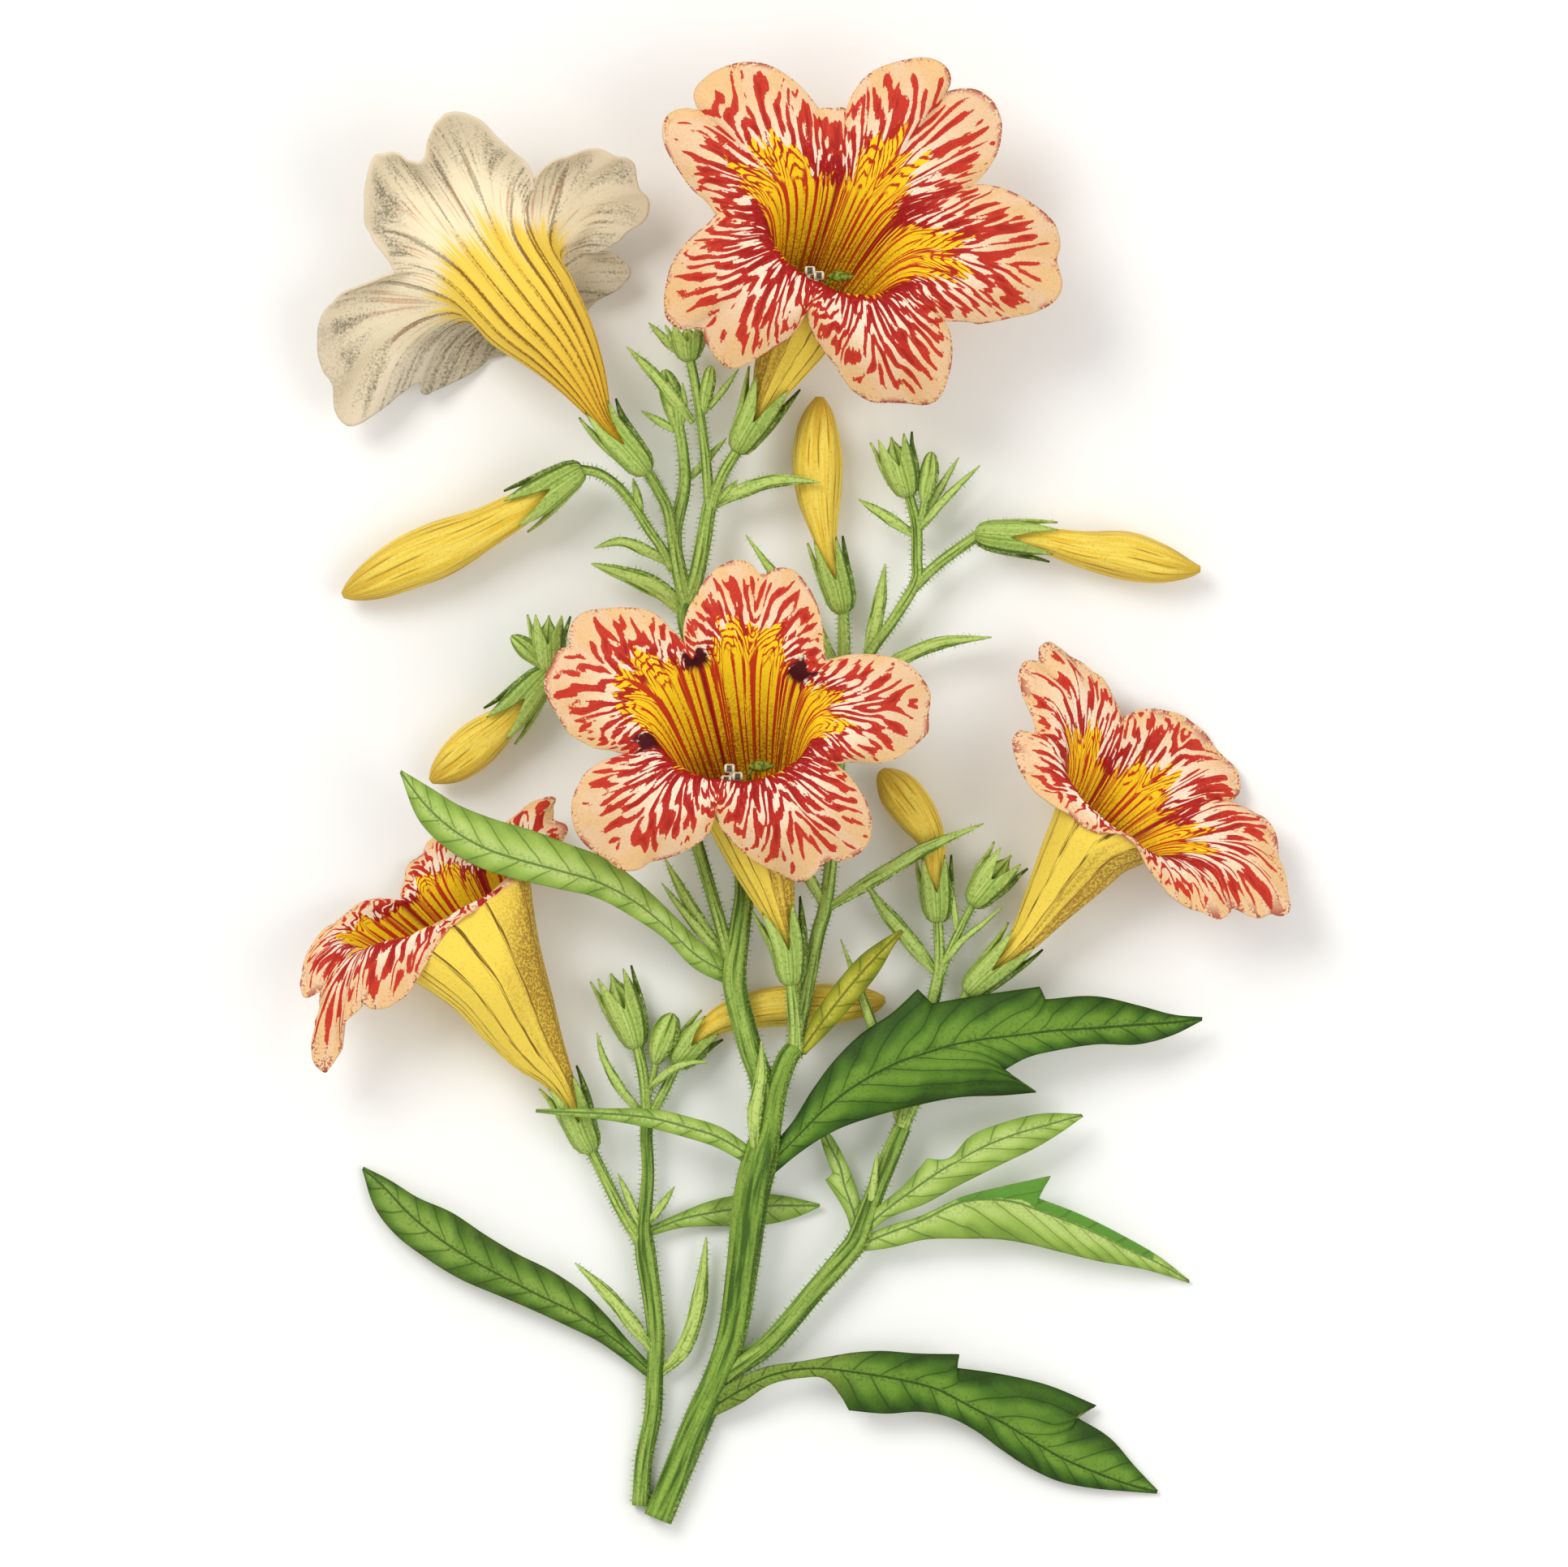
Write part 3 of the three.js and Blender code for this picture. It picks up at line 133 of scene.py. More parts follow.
# path: the stops of a bloom's tube. heights: the z of points along its edge, six for each lobe.
# lobes: the x and y of points along each lobe's edge, from cleft to cleft.
BLOOMS = {
    "white": {
        "path": [797,581,118,6, 775,555,120,8, 746,520,120,12, 718,468,116,31, 690,425,112,48,
            656,384,106,64],
        "mouth": {"centre": [622, 342, 99], "across": [64, -39, 0], "up": [-25, -38, 42]},
        "heights": [168, 180, 186, 180, 168, 156, 146, 134, 116, 100, 84, 72, 62, 44, 22, 6, 2, 18, 40,
            50, 60, 72, 84, 96, 106, 118, 132, 146, 156, 162],
        "lobes": [
            [524,197, 527,189, 528,181, 530,171, 532,163, 536,153, 542,148, 549,143, 556,142, 564,142,
                573,143, 583,146, 593,151, 601,158, 610,167, 620,175, 628,182, 634,190, 641,197, 647,203,
                653,210, 657,221, 658,235],
            [658,235, 660,225, 665,214, 672,205, 680,198, 689,194, 697,193, 705,191, 712,190, 720,188,
                728,187, 737,186, 745,187, 752,190, 760,193, 768,193, 776,196, 782,202, 784,212, 786,225,
                789,234, 796,240, 800,248, 800,258, 797,267, 790,275, 780,281, 772,286, 764,295, 756,300,
                746,306, 736,311],
            [736,311, 748,311, 757,314, 765,321, 772,326, 777,333, 776,340, 769,347, 763,354, 752,360,
                742,365, 734,370, 727,377, 715,388, 680,412, 640,432, 605,438, 599,440, 592,448, 583,456,
                572,463, 558,470, 545,476, 534,481, 523,486, 518,484, 517,470],
            [517,470, 507,474, 498,481, 487,489, 476,499, 465,507, 455,514, 446,520, 436,524, 431,525,
                424,522, 417,514, 412,503, 410,489, 409,477, 406,469, 398,459, 394,448, 391,435, 391,421,
                391,407, 394,395, 400,384, 409,376, 417,367, 427,360, 438,354, 450,348, 462,343, 475,339,
                488,337],
            [488,337, 484,332, 480,323, 475,317, 468,307, 462,299, 457,289, 452,280, 449,267, 449,254,
                449,240, 451,226, 454,212, 458,202, 464,194, 473,194, 481,191, 490,190, 497,192, 502,196,
                510,200, 517,202, 524,197],
        ],
    },
    "top": {
        "path": [909,555,76,6, 918,538,79,8, 935,508,84,13, 956,462,92,29, 978,418,104,43,
            1003,366,124,58],
        "mouth": {"centre": [1033, 299, 182], "across": [85, 43, 0], "up": [27, -53, -8]},
        "heights": [186, 168, 156, 162, 156, 172, 186, 176, 158, 162, 152, 166, 184, 174, 156, 152, 158,
            172, 184, 172, 154, 152, 156, 172, 192, 178, 158, 160, 150, 168],
        "lobes": [
            [883,266, 870,250, 855,238, 843,222, 834,207, 826,193, 820,180, 817,167, 819,152, 825,143,
                836,138, 848,137, 858,138, 862,137, 857,128, 854,118, 857,108, 864,100, 875,91, 890,85,
                907,81, 925,80, 943,82, 958,88, 973,98, 985,108, 996,120, 1004,130, 1010,137, 1018,135,
                1027,137],
            [1027,137, 1036,135, 1043,137, 1048,125, 1055,112, 1064,100, 1075,90, 1090,82, 1108,76,
                1125,73, 1142,74, 1157,80, 1165,87, 1169,97, 1168,107, 1165,115, 1175,112, 1188,110,
                1200,111, 1213,117, 1223,126, 1230,138, 1234,152, 1233,168, 1229,185, 1222,200, 1214,212,
                1206,222, 1200,230],
            [1200,230, 1212,230, 1228,233, 1245,239, 1260,246, 1275,256, 1290,268, 1300,280, 1306,295,
                1307,308, 1303,320, 1305,335, 1307,350, 1304,362, 1295,373, 1282,382, 1265,389, 1248,392,
                1232,396, 1218,399, 1205,401, 1190,398, 1175,397, 1162,397],
            [1162,397, 1167,405, 1172,420, 1173,437, 1170,455, 1164,472, 1158,487, 1150,496, 1140,500,
                1125,500, 1108,498, 1090,497, 1075,496, 1062,490, 1052,482, 1043,470, 1034,455, 1022,441,
                1010,428, 1002,415, 997,400, 996,385, 996,376],
            [996,376, 990,392, 982,406, 972,418, 958,427, 943,434, 930,442, 918,449, 905,455, 893,453,
                882,445, 874,433, 868,420, 866,408, 855,405, 842,407, 830,402, 822,392, 820,375, 822,355,
                825,338, 830,322, 838,308, 848,297, 860,287, 873,278, 883,266],
        ],
    },
    "centre": {
        "path": [975,1212,89,6, 974,1192,91,8, 970,1160,94,10, 955,1110,99,25, 938,1052,113,43,
            920,986,137,60],
        "mouth": {"centre": [905, 893, 205], "across": [100, 0, 0], "up": [0, -72, -8]},
        "heights": [214, 208, 192, 198, 190, 204, 213, 208, 194, 184, 190, 204, 213, 204, 188, 186, 172,
            192, 219, 206, 190, 176, 178, 194, 213, 202, 186, 194, 184, 200],
        "lobes": [
            [845,797, 843,780, 845,765, 850,748, 858,735, 866,720, 876,707, 888,698, 900,692, 912,691,
                922,694, 928,699, 934,708, 940,710, 947,708, 954,703, 965,701, 976,702, 985,708, 995,721,
                1003,737, 1009,755, 1013,775, 1015,795, 1016,808, 1017,815],
            [1017,815, 1030,812, 1045,808, 1062,806, 1080,807, 1098,811, 1112,816, 1124,825, 1135,836,
                1143,847, 1147,858, 1146,868, 1144,880, 1144,893, 1143,903, 1136,911, 1124,921, 1110,930,
                1095,936, 1080,939, 1060,940, 1045,940, 1027,942],
            [1027,942, 1035,948, 1045,958, 1056,970, 1065,982, 1071,996, 1074,1010, 1073,1025, 1069,1040,
                1060,1050, 1048,1057, 1034,1060, 1022,1058, 1014,1062, 1005,1073, 996,1082, 985,1087,
                975,1086, 962,1080, 948,1072, 932,1062, 918,1050, 907,1040, 898,1030, 888,1018, 886,1012,
                883,1000, 883,985],
            [883,985, 880,1000, 878,1015, 872,1028, 862,1038, 850,1045, 838,1052, 825,1057, 812,1060,
                800,1062, 790,1068, 778,1071, 765,1069, 755,1063, 748,1058, 738,1054, 728,1048, 718,1038,
                710,1025, 706,1010, 705,995, 708,980, 714,967, 722,955, 735,945, 750,938, 765,933,
                779,930],
            [779,930, 765,927, 750,923, 735,922, 720,916, 705,908, 694,895, 687,880, 680,866, 675,852,
                673,840, 677,826, 682,818, 684,808, 692,800, 703,797, 702,788, 703,775, 708,764, 718,755,
                732,751, 750,750, 768,750, 785,752, 802,756, 815,764, 827,775, 838,787, 845,797],
        ],
    },
    "left": {
        "path": [728,1418,34,6, 718,1397,38,8, 703,1358,48,12, 685,1325,56,21, 663,1296,62,35,
            638,1255,72,50, 604,1192,86,71],
        "mouth": {"centre": [545, 1120, 92], "across": [106, -48, 0], "up": [-8, -17, -50]},
        "heights": [42, 26, 10, 0.6, 12, 26, 42, 54, 62, 70, 82, 98, 132, 148, 148, 142, 134, 134, 138,
            126, 110, 98, 94, 100, 114, 98, 88, 74, 62, 52],
        "lobes": [
            [495,1113, 493,1104, 494,1095, 497,1088, 500,1081, 501,1074, 503,1067, 508,1060, 514,1055,
                520,1051, 522,1045, 525,1040, 531,1035, 537,1031, 546,1032, 562,1038, 582,1050, 602,1056],
            [602,1056, 610,1032, 627,1012, 638,1004, 649,994, 659,988, 669,985, 677,982, 684,982, 685,985,
                682,994, 683,1001, 682,1009, 690,1013, 697,1017, 699,1021, 697,1028, 690,1037, 666,1058,
                630,1080, 600,1104],
            [600,1104, 575,1128, 562,1138, 554,1143, 546,1154, 539,1166, 533,1176, 525,1189, 519,1199,
                513,1209, 507,1220, 499,1229, 489,1235, 478,1241, 468,1243, 459,1243, 452,1239, 446,1234],
            [446,1234, 447,1241, 440,1247, 433,1253, 427,1259, 426,1263, 423,1272, 421,1281, 419,1291,
                416,1300, 411,1310, 406,1317, 403,1322, 400,1321, 394,1317, 388,1311, 385,1303, 384,1291,
                385,1279, 387,1270, 391,1258, 395,1244, 393,1237, 393,1229, 395,1222],
            [395,1222, 384,1228, 378,1230, 375,1229, 373,1223, 370,1215, 372,1203, 373,1192, 375,1182,
                378,1173, 384,1163, 391,1155, 400,1147, 411,1139, 420,1130, 431,1121, 440,1114, 452,1110,
                464,1108, 476,1109, 485,1111, 495,1113],
        ],
    },
    "right": {
        "path": [1193,1224,51,6, 1208,1209,53,8, 1231,1188,56,11, 1262,1156,62,19, 1290,1116,68,31,
            1322,1070,76,47, 1348,1032,84,60],
        "mouth": {"centre": [1380, 998, 92], "across": [66, 56, 0], "up": [16, -20, -50]},
        "heights": [48, 34, 20, 8, 1, 14, 30, 44, 58, 74, 88, 98, 106, 118, 128, 138, 146, 150, 152, 150,
            146, 140, 132, 120, 106, 94, 80, 64, 54, 50],
        "lobes": [
            [1383,889, 1387,883, 1393,880, 1403,876, 1413,874, 1426,873, 1439,876, 1452,879, 1462,883,
                1470,890, 1477,896, 1484,904, 1491,913, 1499,922, 1508,929, 1516,937, 1522,945, 1526,954,
                1528,962, 1529,970, 1527,978, 1522,983, 1518,989],
            [1518,989, 1523,991, 1532,994, 1540,997, 1547,1002, 1556,1008, 1564,1017, 1570,1026,
                1574,1035, 1576,1045, 1577,1056, 1581,1067, 1584,1079, 1586,1090, 1587,1103, 1589,1114,
                1588,1123, 1583,1128, 1577,1129, 1572,1128, 1567,1126, 1560,1129, 1551,1132, 1544,1130,
                1533,1126, 1524,1121, 1518,1119],
            [1518,1119, 1516,1123, 1509,1130, 1501,1133, 1494,1131, 1486,1127, 1479,1123, 1470,1121,
                1459,1116, 1449,1110, 1440,1103, 1433,1094, 1425,1085, 1419,1076, 1415,1068, 1410,1059,
                1403,1049, 1396,1040, 1387,1031],
            [1387,1031, 1379,1028, 1368,1026, 1355,1026, 1345,1024, 1334,1019, 1324,1011, 1314,1002,
                1306,998, 1296,992, 1285,984, 1273,974, 1264,962, 1257,951, 1252,939, 1250,931, 1248,923,
                1247,914, 1250,906, 1256,900, 1266,903, 1275,906],
            [1275,906, 1275,897, 1273,890, 1271,882, 1267,873, 1263,864, 1260,857, 1258,848, 1255,840,
                1255,831, 1258,822, 1262,816, 1271,815, 1280,816, 1280,808, 1281,797, 1287,792, 1295,790,
                1301,795, 1309,800, 1318,808, 1328,813, 1337,820, 1346,829, 1356,835, 1364,845, 1370,854,
                1375,863, 1380,874, 1382,883, 1383,889],
        ],
    },
}

# The length of each coloured bud's sepals, and its stops.
BUDS = {
    "left": (100, [716,577,70,6, 688,595,66,12, 648,622,58,20, 598,650,48,25, 545,675,40,33,
        502,693,36,32, 462,713,32,25, 434,727,30,14, 421,733,29,4]),
    "left_small": (92, [674,828,57,6, 655,850,54,11, 624,886,46,19, 590,915,40,27, 562,938,36,25,
        541,954,33,15, 530,963,32,4]),
    "upper": (92, [1039,753,42,6, 1034,728,42,7, 1025,697,42,9, 1016,660,41,15, 1009,613,39,26,
        1007,572,38,30, 1007,535,37,26, 1009,506,36,17, 1010,488,36,5]),
    "right": (96, [1204,658,52,6, 1235,661,52,11, 1290,666,50,16, 1335,676,46,22, 1388,684,42,29,
        1430,694,39,24, 1462,700,37,13, 1480,701,36,4]),
    "middle": (80, [1156,1135,46,6, 1155,1110,46,9, 1152,1075,45,12, 1147,1035,44,17, 1130,1005,43,24,
        1108,976,42,25, 1092,957,41,15, 1086,949,40,5]),
    "low": (66, [833,1312,28,6, 848,1294,28,9, 866,1273,27,12, 890,1256,27,17, 920,1247,26,21,
        962,1240,26,24, 1024,1238,26,24, 1073,1235,26,15, 1091,1232,26,4]),
}

OPEN_GREEN_BUDS = [
    [784,1290,31,7, 776,1262,31,15, 764,1230,31,18, 752,1200,31,16],
    [1119,609,54,7, 1112,585,55,14, 1104,560,56,16, 1098,538,56,13],
    [1199,1114,54,6, 1214,1094,56,14, 1230,1074,57,17, 1246,1054,58,13],
    [677,827,57,6, 676,806,60,12, 675,785,62,14, 676,758,62,12],
    [849,442,60,6, 848,428,61,9, 847,412,62,10, 846,398,62,8],
]

CLOSED_GREEN_BUDS = [
    [807,1312,36,4, 811,1298,37,13, 819,1275,38,18, 826,1256,38,12, 828,1249,38,3],
    [1139,620,54,4, 1141,605,55,10, 1145,582,56,12, 1147,563,56,8, 1148,556,56,2],
    [835,530,58,5, 831,505,60,13, 825,480,61,14, 820,462,61,9, 818,455,61,3],
    [866,508,60,4, 869,490,62,8, 873,468,63,9, 875,455,63,6, 876,450,63,2],
    [676,826,58,5, 662,812,62,10, 648,799,64,13, 635,788,65,8, 629,784,65,2],
]

# Half the width of each narrow leaf, and the x, y and z of the stops of its midrib.
NARROW_LEAVES = [
    (8, [898,1184,56, 866,1142,54, 840,1098,52, 818,1056,52]),
    (6, [898,1188,57, 866,1152,60, 838,1118,60, 815,1088,60]),
    (9, [930,1415,76, 930,1370,84, 938,1325,84, 938,1283,80]),
    (9, [1016,1122,62, 1070,1088,69, 1140,1046,74, 1212,1015,76]),
    (7, [1015,1118,62, 1005,1096,64, 990,1070,64, 975,1045,60]),
    (10, [1154,1200,46, 1120,1158,40, 1090,1122,38, 1066,1086,36]),
    (7, [1108,1385,42, 1086,1300,54, 1062,1228,61, 1036,1158,54]),
    (4, [1160,1194,50, 1185,1160,56, 1212,1138,58, 1237,1116,58]),
    (4, [1180,1150,52, 1176,1120,52, 1172,1088,50]),
    (6, [795,1378,31, 764,1342,36, 744,1306,38, 735,1273,36]),
    (5, [800,1342,36, 828,1318,50, 850,1310,56, 872,1310,56]),
    (5, [788,1512,32, 776,1482,36, 761,1447,36]),
    (5, [800,1508,32, 816,1485,38, 831,1463,40]),
    (9, [805,1668,25, 777,1630,44, 745,1592,52, 708,1557,52]),
    (10, [810,1697,22, 843,1662,26, 862,1600,26, 870,1526,24]),
    (12, [846,760,48, 820,731,54, 780,711,56, 728,694,52]),
    (7, [828,696,52, 800,680,58, 765,667,60, 732,675,58]),
    (9, [878,624,56, 908,607,64, 955,592,73, 1010,594,78]),
    (5, [790,630,66, 785,610,72, 780,589,72]),
    (5, [848,592,54, 870,566,46, 895,539,44]),
    (4, [882,620,60, 896,604,62, 909,591,62]),
    (9, [1068,815,42, 1078,770,46, 1085,735,48, 1091,694,48]),
    (9, [1056,850,42, 1110,812,48, 1160,792,50, 1222,785,46]),
    (8, [1038,835,40, 1000,765,44, 955,708,46, 919,659,44]),
    (8, [854,520,62, 828,488,78, 800,455,84, 772,427,84]),
    (5, [838,528,60, 842,500,66, 841,471,68]),
    (5, [836,532,58, 814,520,58, 790,506,56]),
    (4, [866,510,60, 888,484,60, 910,454,56]),
    (6, [849,442,60, 824,422,56, 799,397,52]),
    (6, [850,442,60, 860,428,60, 872,408,56]),
    (7, [1128,660,52, 1095,638,54, 1058,615,52]),
    (5, [1132,650,52, 1158,602,48, 1182,563,46]),
    (5, [1132,655,54, 1166,613,60, 1208,573,60]),
    (5, [1072,1498,44, 1076,1462,54, 1082,1420,56]),
]

# Each row of a broad leaf: the left edge's x and y, the midrib's x, y and z, the right edge's x and y.
# drop: how far the edges hang. stalk and turned: the shares that are a stalk or turned over.
LEAVES = {
    "lower_right": {
        "colour": "leafDark", "drop": 0.12, "stalk": 0.4, "tip": [1427, 1841, 5],
        "rows": [866,1730,868,1742,24,870,1752, 900,1705,905,1719,36,912,1731,
            942,1686,947,1697,44,950,1707, 985,1679,988,1688,48,988,1699,
            1020,1673,1020,1688,50,1014,1699, 1052,1668,1052,1692,50,1036,1721,
            1086,1666,1085,1697,49,1046,1739, 1130,1669,1122,1704,47,1092,1743,
            1182,1670,1152,1712,44,1135,1741, 1178,1687,1184,1728,41,1168,1747,
            1230,1694,1212,1743,37,1202,1764, 1290,1708,1240,1757,33,1236,1789,
            1352,1734,1263,1771,29,1268,1810, 1325,1747,1308,1798,24,1305,1827,
            1368,1774,1352,1817,17,1348,1836, 1400,1810,1390,1831,10,1390,1840],
    },
    "lower_left": {
        "colour": "leafMiddle", "drop": 0.1, "tip": [446, 1441, 6],
        "rows": [804,1686,803,1694,24,801,1702, 775,1655,775,1667,28,768,1676,
            748,1624,745,1643,32,738,1655, 718,1594,706,1618,35,698,1635, 680,1568,665,1598,37,655,1615,
            638,1547,620,1575,38,610,1596, 596,1522,578,1552,36,566,1577, 553,1494,537,1525,31,522,1550,
            512,1476,500,1494,24,486,1522, 478,1455,474,1466,15,462,1492],
    },
    "middle_right": {
        "colour": "leafDark", "drop": 0.14, "tip": [1482, 1256, 44],
        "rows": [950,1414,952,1432,57,950,1450, 976,1384,982,1402,64,985,1421,
            1001,1344,1012,1371,70,1030,1393, 1030,1305,1048,1342,76,1080,1375,
            1062,1274,1085,1320,80,1130,1362, 1100,1248,1118,1305,83,1185,1352,
            1131,1219,1138,1299,84,1235,1350, 1148,1237,1166,1290,84,1277,1346,
            1200,1228,1205,1282,83,1237,1319, 1281,1216,1252,1276,80,1264,1304,
            1288,1232,1302,1270,75,1305,1294, 1350,1228,1352,1267,68,1352,1287,
            1405,1240,1405,1263,59,1405,1287, 1448,1251,1448,1260,50,1445,1276],
    },
    "middle_left": {
        "colour": "leafLight", "drop": 0.12, "tip": [494, 951, 124],
        "rows": [898,1186,895,1200,62,897,1214, 862,1160,858,1178,76,856,1194,
            826,1124,820,1142,92,818,1156, 790,1090,780,1110,106,778,1129, 745,1057,737,1087,118,732,1105,
            700,1040,690,1073,128,688,1095, 652,1022,642,1060,135,640,1084,
            605,1008,598,1045,138,592,1069, 565,992,558,1022,137,553,1047, 533,972,527,994,132,520,1015],
    },
    "side_upper": {
        "colour": "leafLight", "drop": 0.12, "tip": [1334, 1375, 44],
        "rows": [1058,1514,1060,1520,42,1064,1526, 1082,1488,1088,1495,50,1095,1502,
            1112,1463,1121,1470,56,1140,1484, 1143,1428,1152,1448,60,1178,1463,
            1164,1430,1180,1431,62,1210,1447, 1197,1400,1212,1414,62,1243,1431,
            1240,1383,1250,1399,58,1278,1414, 1285,1373,1292,1387,52,1308,1396],
    },
    "side_lower": {
        "colour": "leafLight", "drop": 0.2, "turned": [0.3, 0.92], "tip": [1466, 1581, 5],
        "rows": [1052,1532,1053,1538,38,1055,1544, 1092,1513,1094,1521,44,1098,1538,
            1135,1499,1138,1504,50,1140,1528, 1185,1476,1186,1482,54,1190,1527,
            1235,1463,1230,1479,56,1235,1528, 1295,1450,1258,1484,56,1275,1535,
            1278,1477,1276,1491,55,1298,1541, 1325,1495,1335,1514,46,1355,1555,
            1380,1522,1385,1539,34,1400,1563, 1430,1551,1432,1561,18,1438,1573],
    },
    "side_small": {
        "colour": "leafLight", "drop": 0.1, "tip": [1009, 1382, 23],
        "rows": [1052,1532,1058,1529,40,1064,1526, 1043,1498,1052,1495,33,1062,1490,
            1017,1455,1041,1464,29,1054,1462, 1027,1448,1035,1438,27,1044,1436,
            1014,1414,1022,1412,25,1031,1410],
    },
    "behind_stem": {
        "colour": "leafLight", "drop": 0.1, "tip": [1010, 1487, 11],
        "rows": [797,1514,797,1520,26,797,1526, 835,1497,838,1504,20,840,1514,
            870,1483,875,1496,15,878,1512, 910,1474,915,1490,12,918,1512, 950,1473,952,1487,11,952,1509,
            985,1479,983,1487,11,982,1501],
    },
    "strap_left": {
        "colour": "leafLight", "drop": 0.08, "tip": [660, 1369, 74],
        "rows": [922,1412,918,1421,66,912,1430, 890,1390,886,1402,76,880,1413,
            850,1377,846,1389,80,842,1401, 805,1367,802,1378,80,800,1390, 755,1366,753,1373,78,750,1381,
            705,1366,704,1371,76,703,1376],
    },
    "young": {
        "colour": "leafYoung", "drop": 0.3, "tip": [1112, 1147, 88],
        "rows": [984,1290,987,1296,76,992,1300, 1003,1252,1012,1261,84,1022,1270,
            1030,1213,1042,1222,88,1054,1234, 1062,1177,1073,1186,90,1083,1197,
            1092,1156,1097,1161,90,1101,1166],
    },
}

# The x, y and z of the stops of the stamens' filaments and of the style.
HEARTS = {
    "top": {
        "filaments": [
            [957,459,93, 973,425,118, 988,372,160, 998,335,172],
            [957,459,93, 976,424,118, 994,368,160, 1009,341,171],
            [957,459,93, 972,424,118, 985,374,158, 995,350,170],
        ],
        "style": [965,462,94, 985,415,112, 1008,372,152, 1022,346,172, 1036,342,174],
    },
    "centre": {
        "filaments": [
            [951,1107,100, 934,1050,128, 912,985,172, 899,947,192],
            [951,1107,100, 936,1050,128, 916,985,172, 909,957,192],
            [951,1107,100, 933,1050,128, 908,988,170, 895,961,190],
        ],
        "style": [962,1105,100, 945,1045,124, 930,985,165, 924,952,190, 938,944,194],
    },
}


# Shapes

def at(points):
    """Plan points in metres in the frame."""
    points = np.asarray(points, float)
    x, y = points[..., 0] - PLAN_CENTRE[0], PLAN_CENTRE[1] - points[..., 1]
    return np.stack([x * STEP, y * STEP, points[..., 2] * STEP], -1)


def way(vector):
    """A plan direction in metres."""
    return np.array([vector[0], -vector[1], vector[2]]) * STEP


def stops(numbers, width=4):
    """A flat list of numbers as rows of a width."""
    return np.reshape(np.array(numbers, float), (-1, width))


def along(points, u):
    """A smooth path through points, for values u from 0 to 1. A point can be a row of points."""
    points = np.asarray(points, float)
    spans = len(points) - 1
    place = np.clip(u, 0, 1) * spans
    span = np.minimum(place.astype(int), spans - 1)
    t = (place - span).reshape((-1,) + (1,) * (points.ndim - 1))
    a, b, c, d = (points[np.clip(span + k, 0, spans)] for k in (-1, 0, 1, 2))
    return b + 0.5 * t * (c - a + t * (2 * a - 5 * b + 4 * c - d + t * (3 * (b - c) + d - a)))


def gone(points):
    """The distance of each point along a line of points."""
    return np.concatenate([[0], np.cumsum(np.linalg.norm(np.diff(points, axis=0), axis=1))])


def paces(route):
    """The distances in plan steps along a route, and the u of each."""
    u = np.linspace(0, 1, PACE_POINTS * (len(route) - 1) + 1)
    return gone(at(along(route, u))) / STEP, u


def unit(v):
    return v / np.maximum(np.linalg.norm(v, axis=-1, keepdims=True), 1e-12)


def stations(route, distances):
    """Centres, sides, rises and radii of a route at some distances."""
    u = np.interp(distances, *paces(route))
    near = 0.01
    heading = unit(at(along(route, np.minimum(1, u + near))) - at(along(route, np.maximum(0, u - near))))
    side = unit(np.cross(heading, [0, 0, 1]))
    points = along(route, u)
    return at(points), side, np.cross(side, heading), points[:, -1]


def smooth(x, low, high):
    """0 below low, 1 above high, smooth between them."""
    t = np.clip((x - low) / (high - low), 0, 1)
    return t * t * (3 - 2 * t)


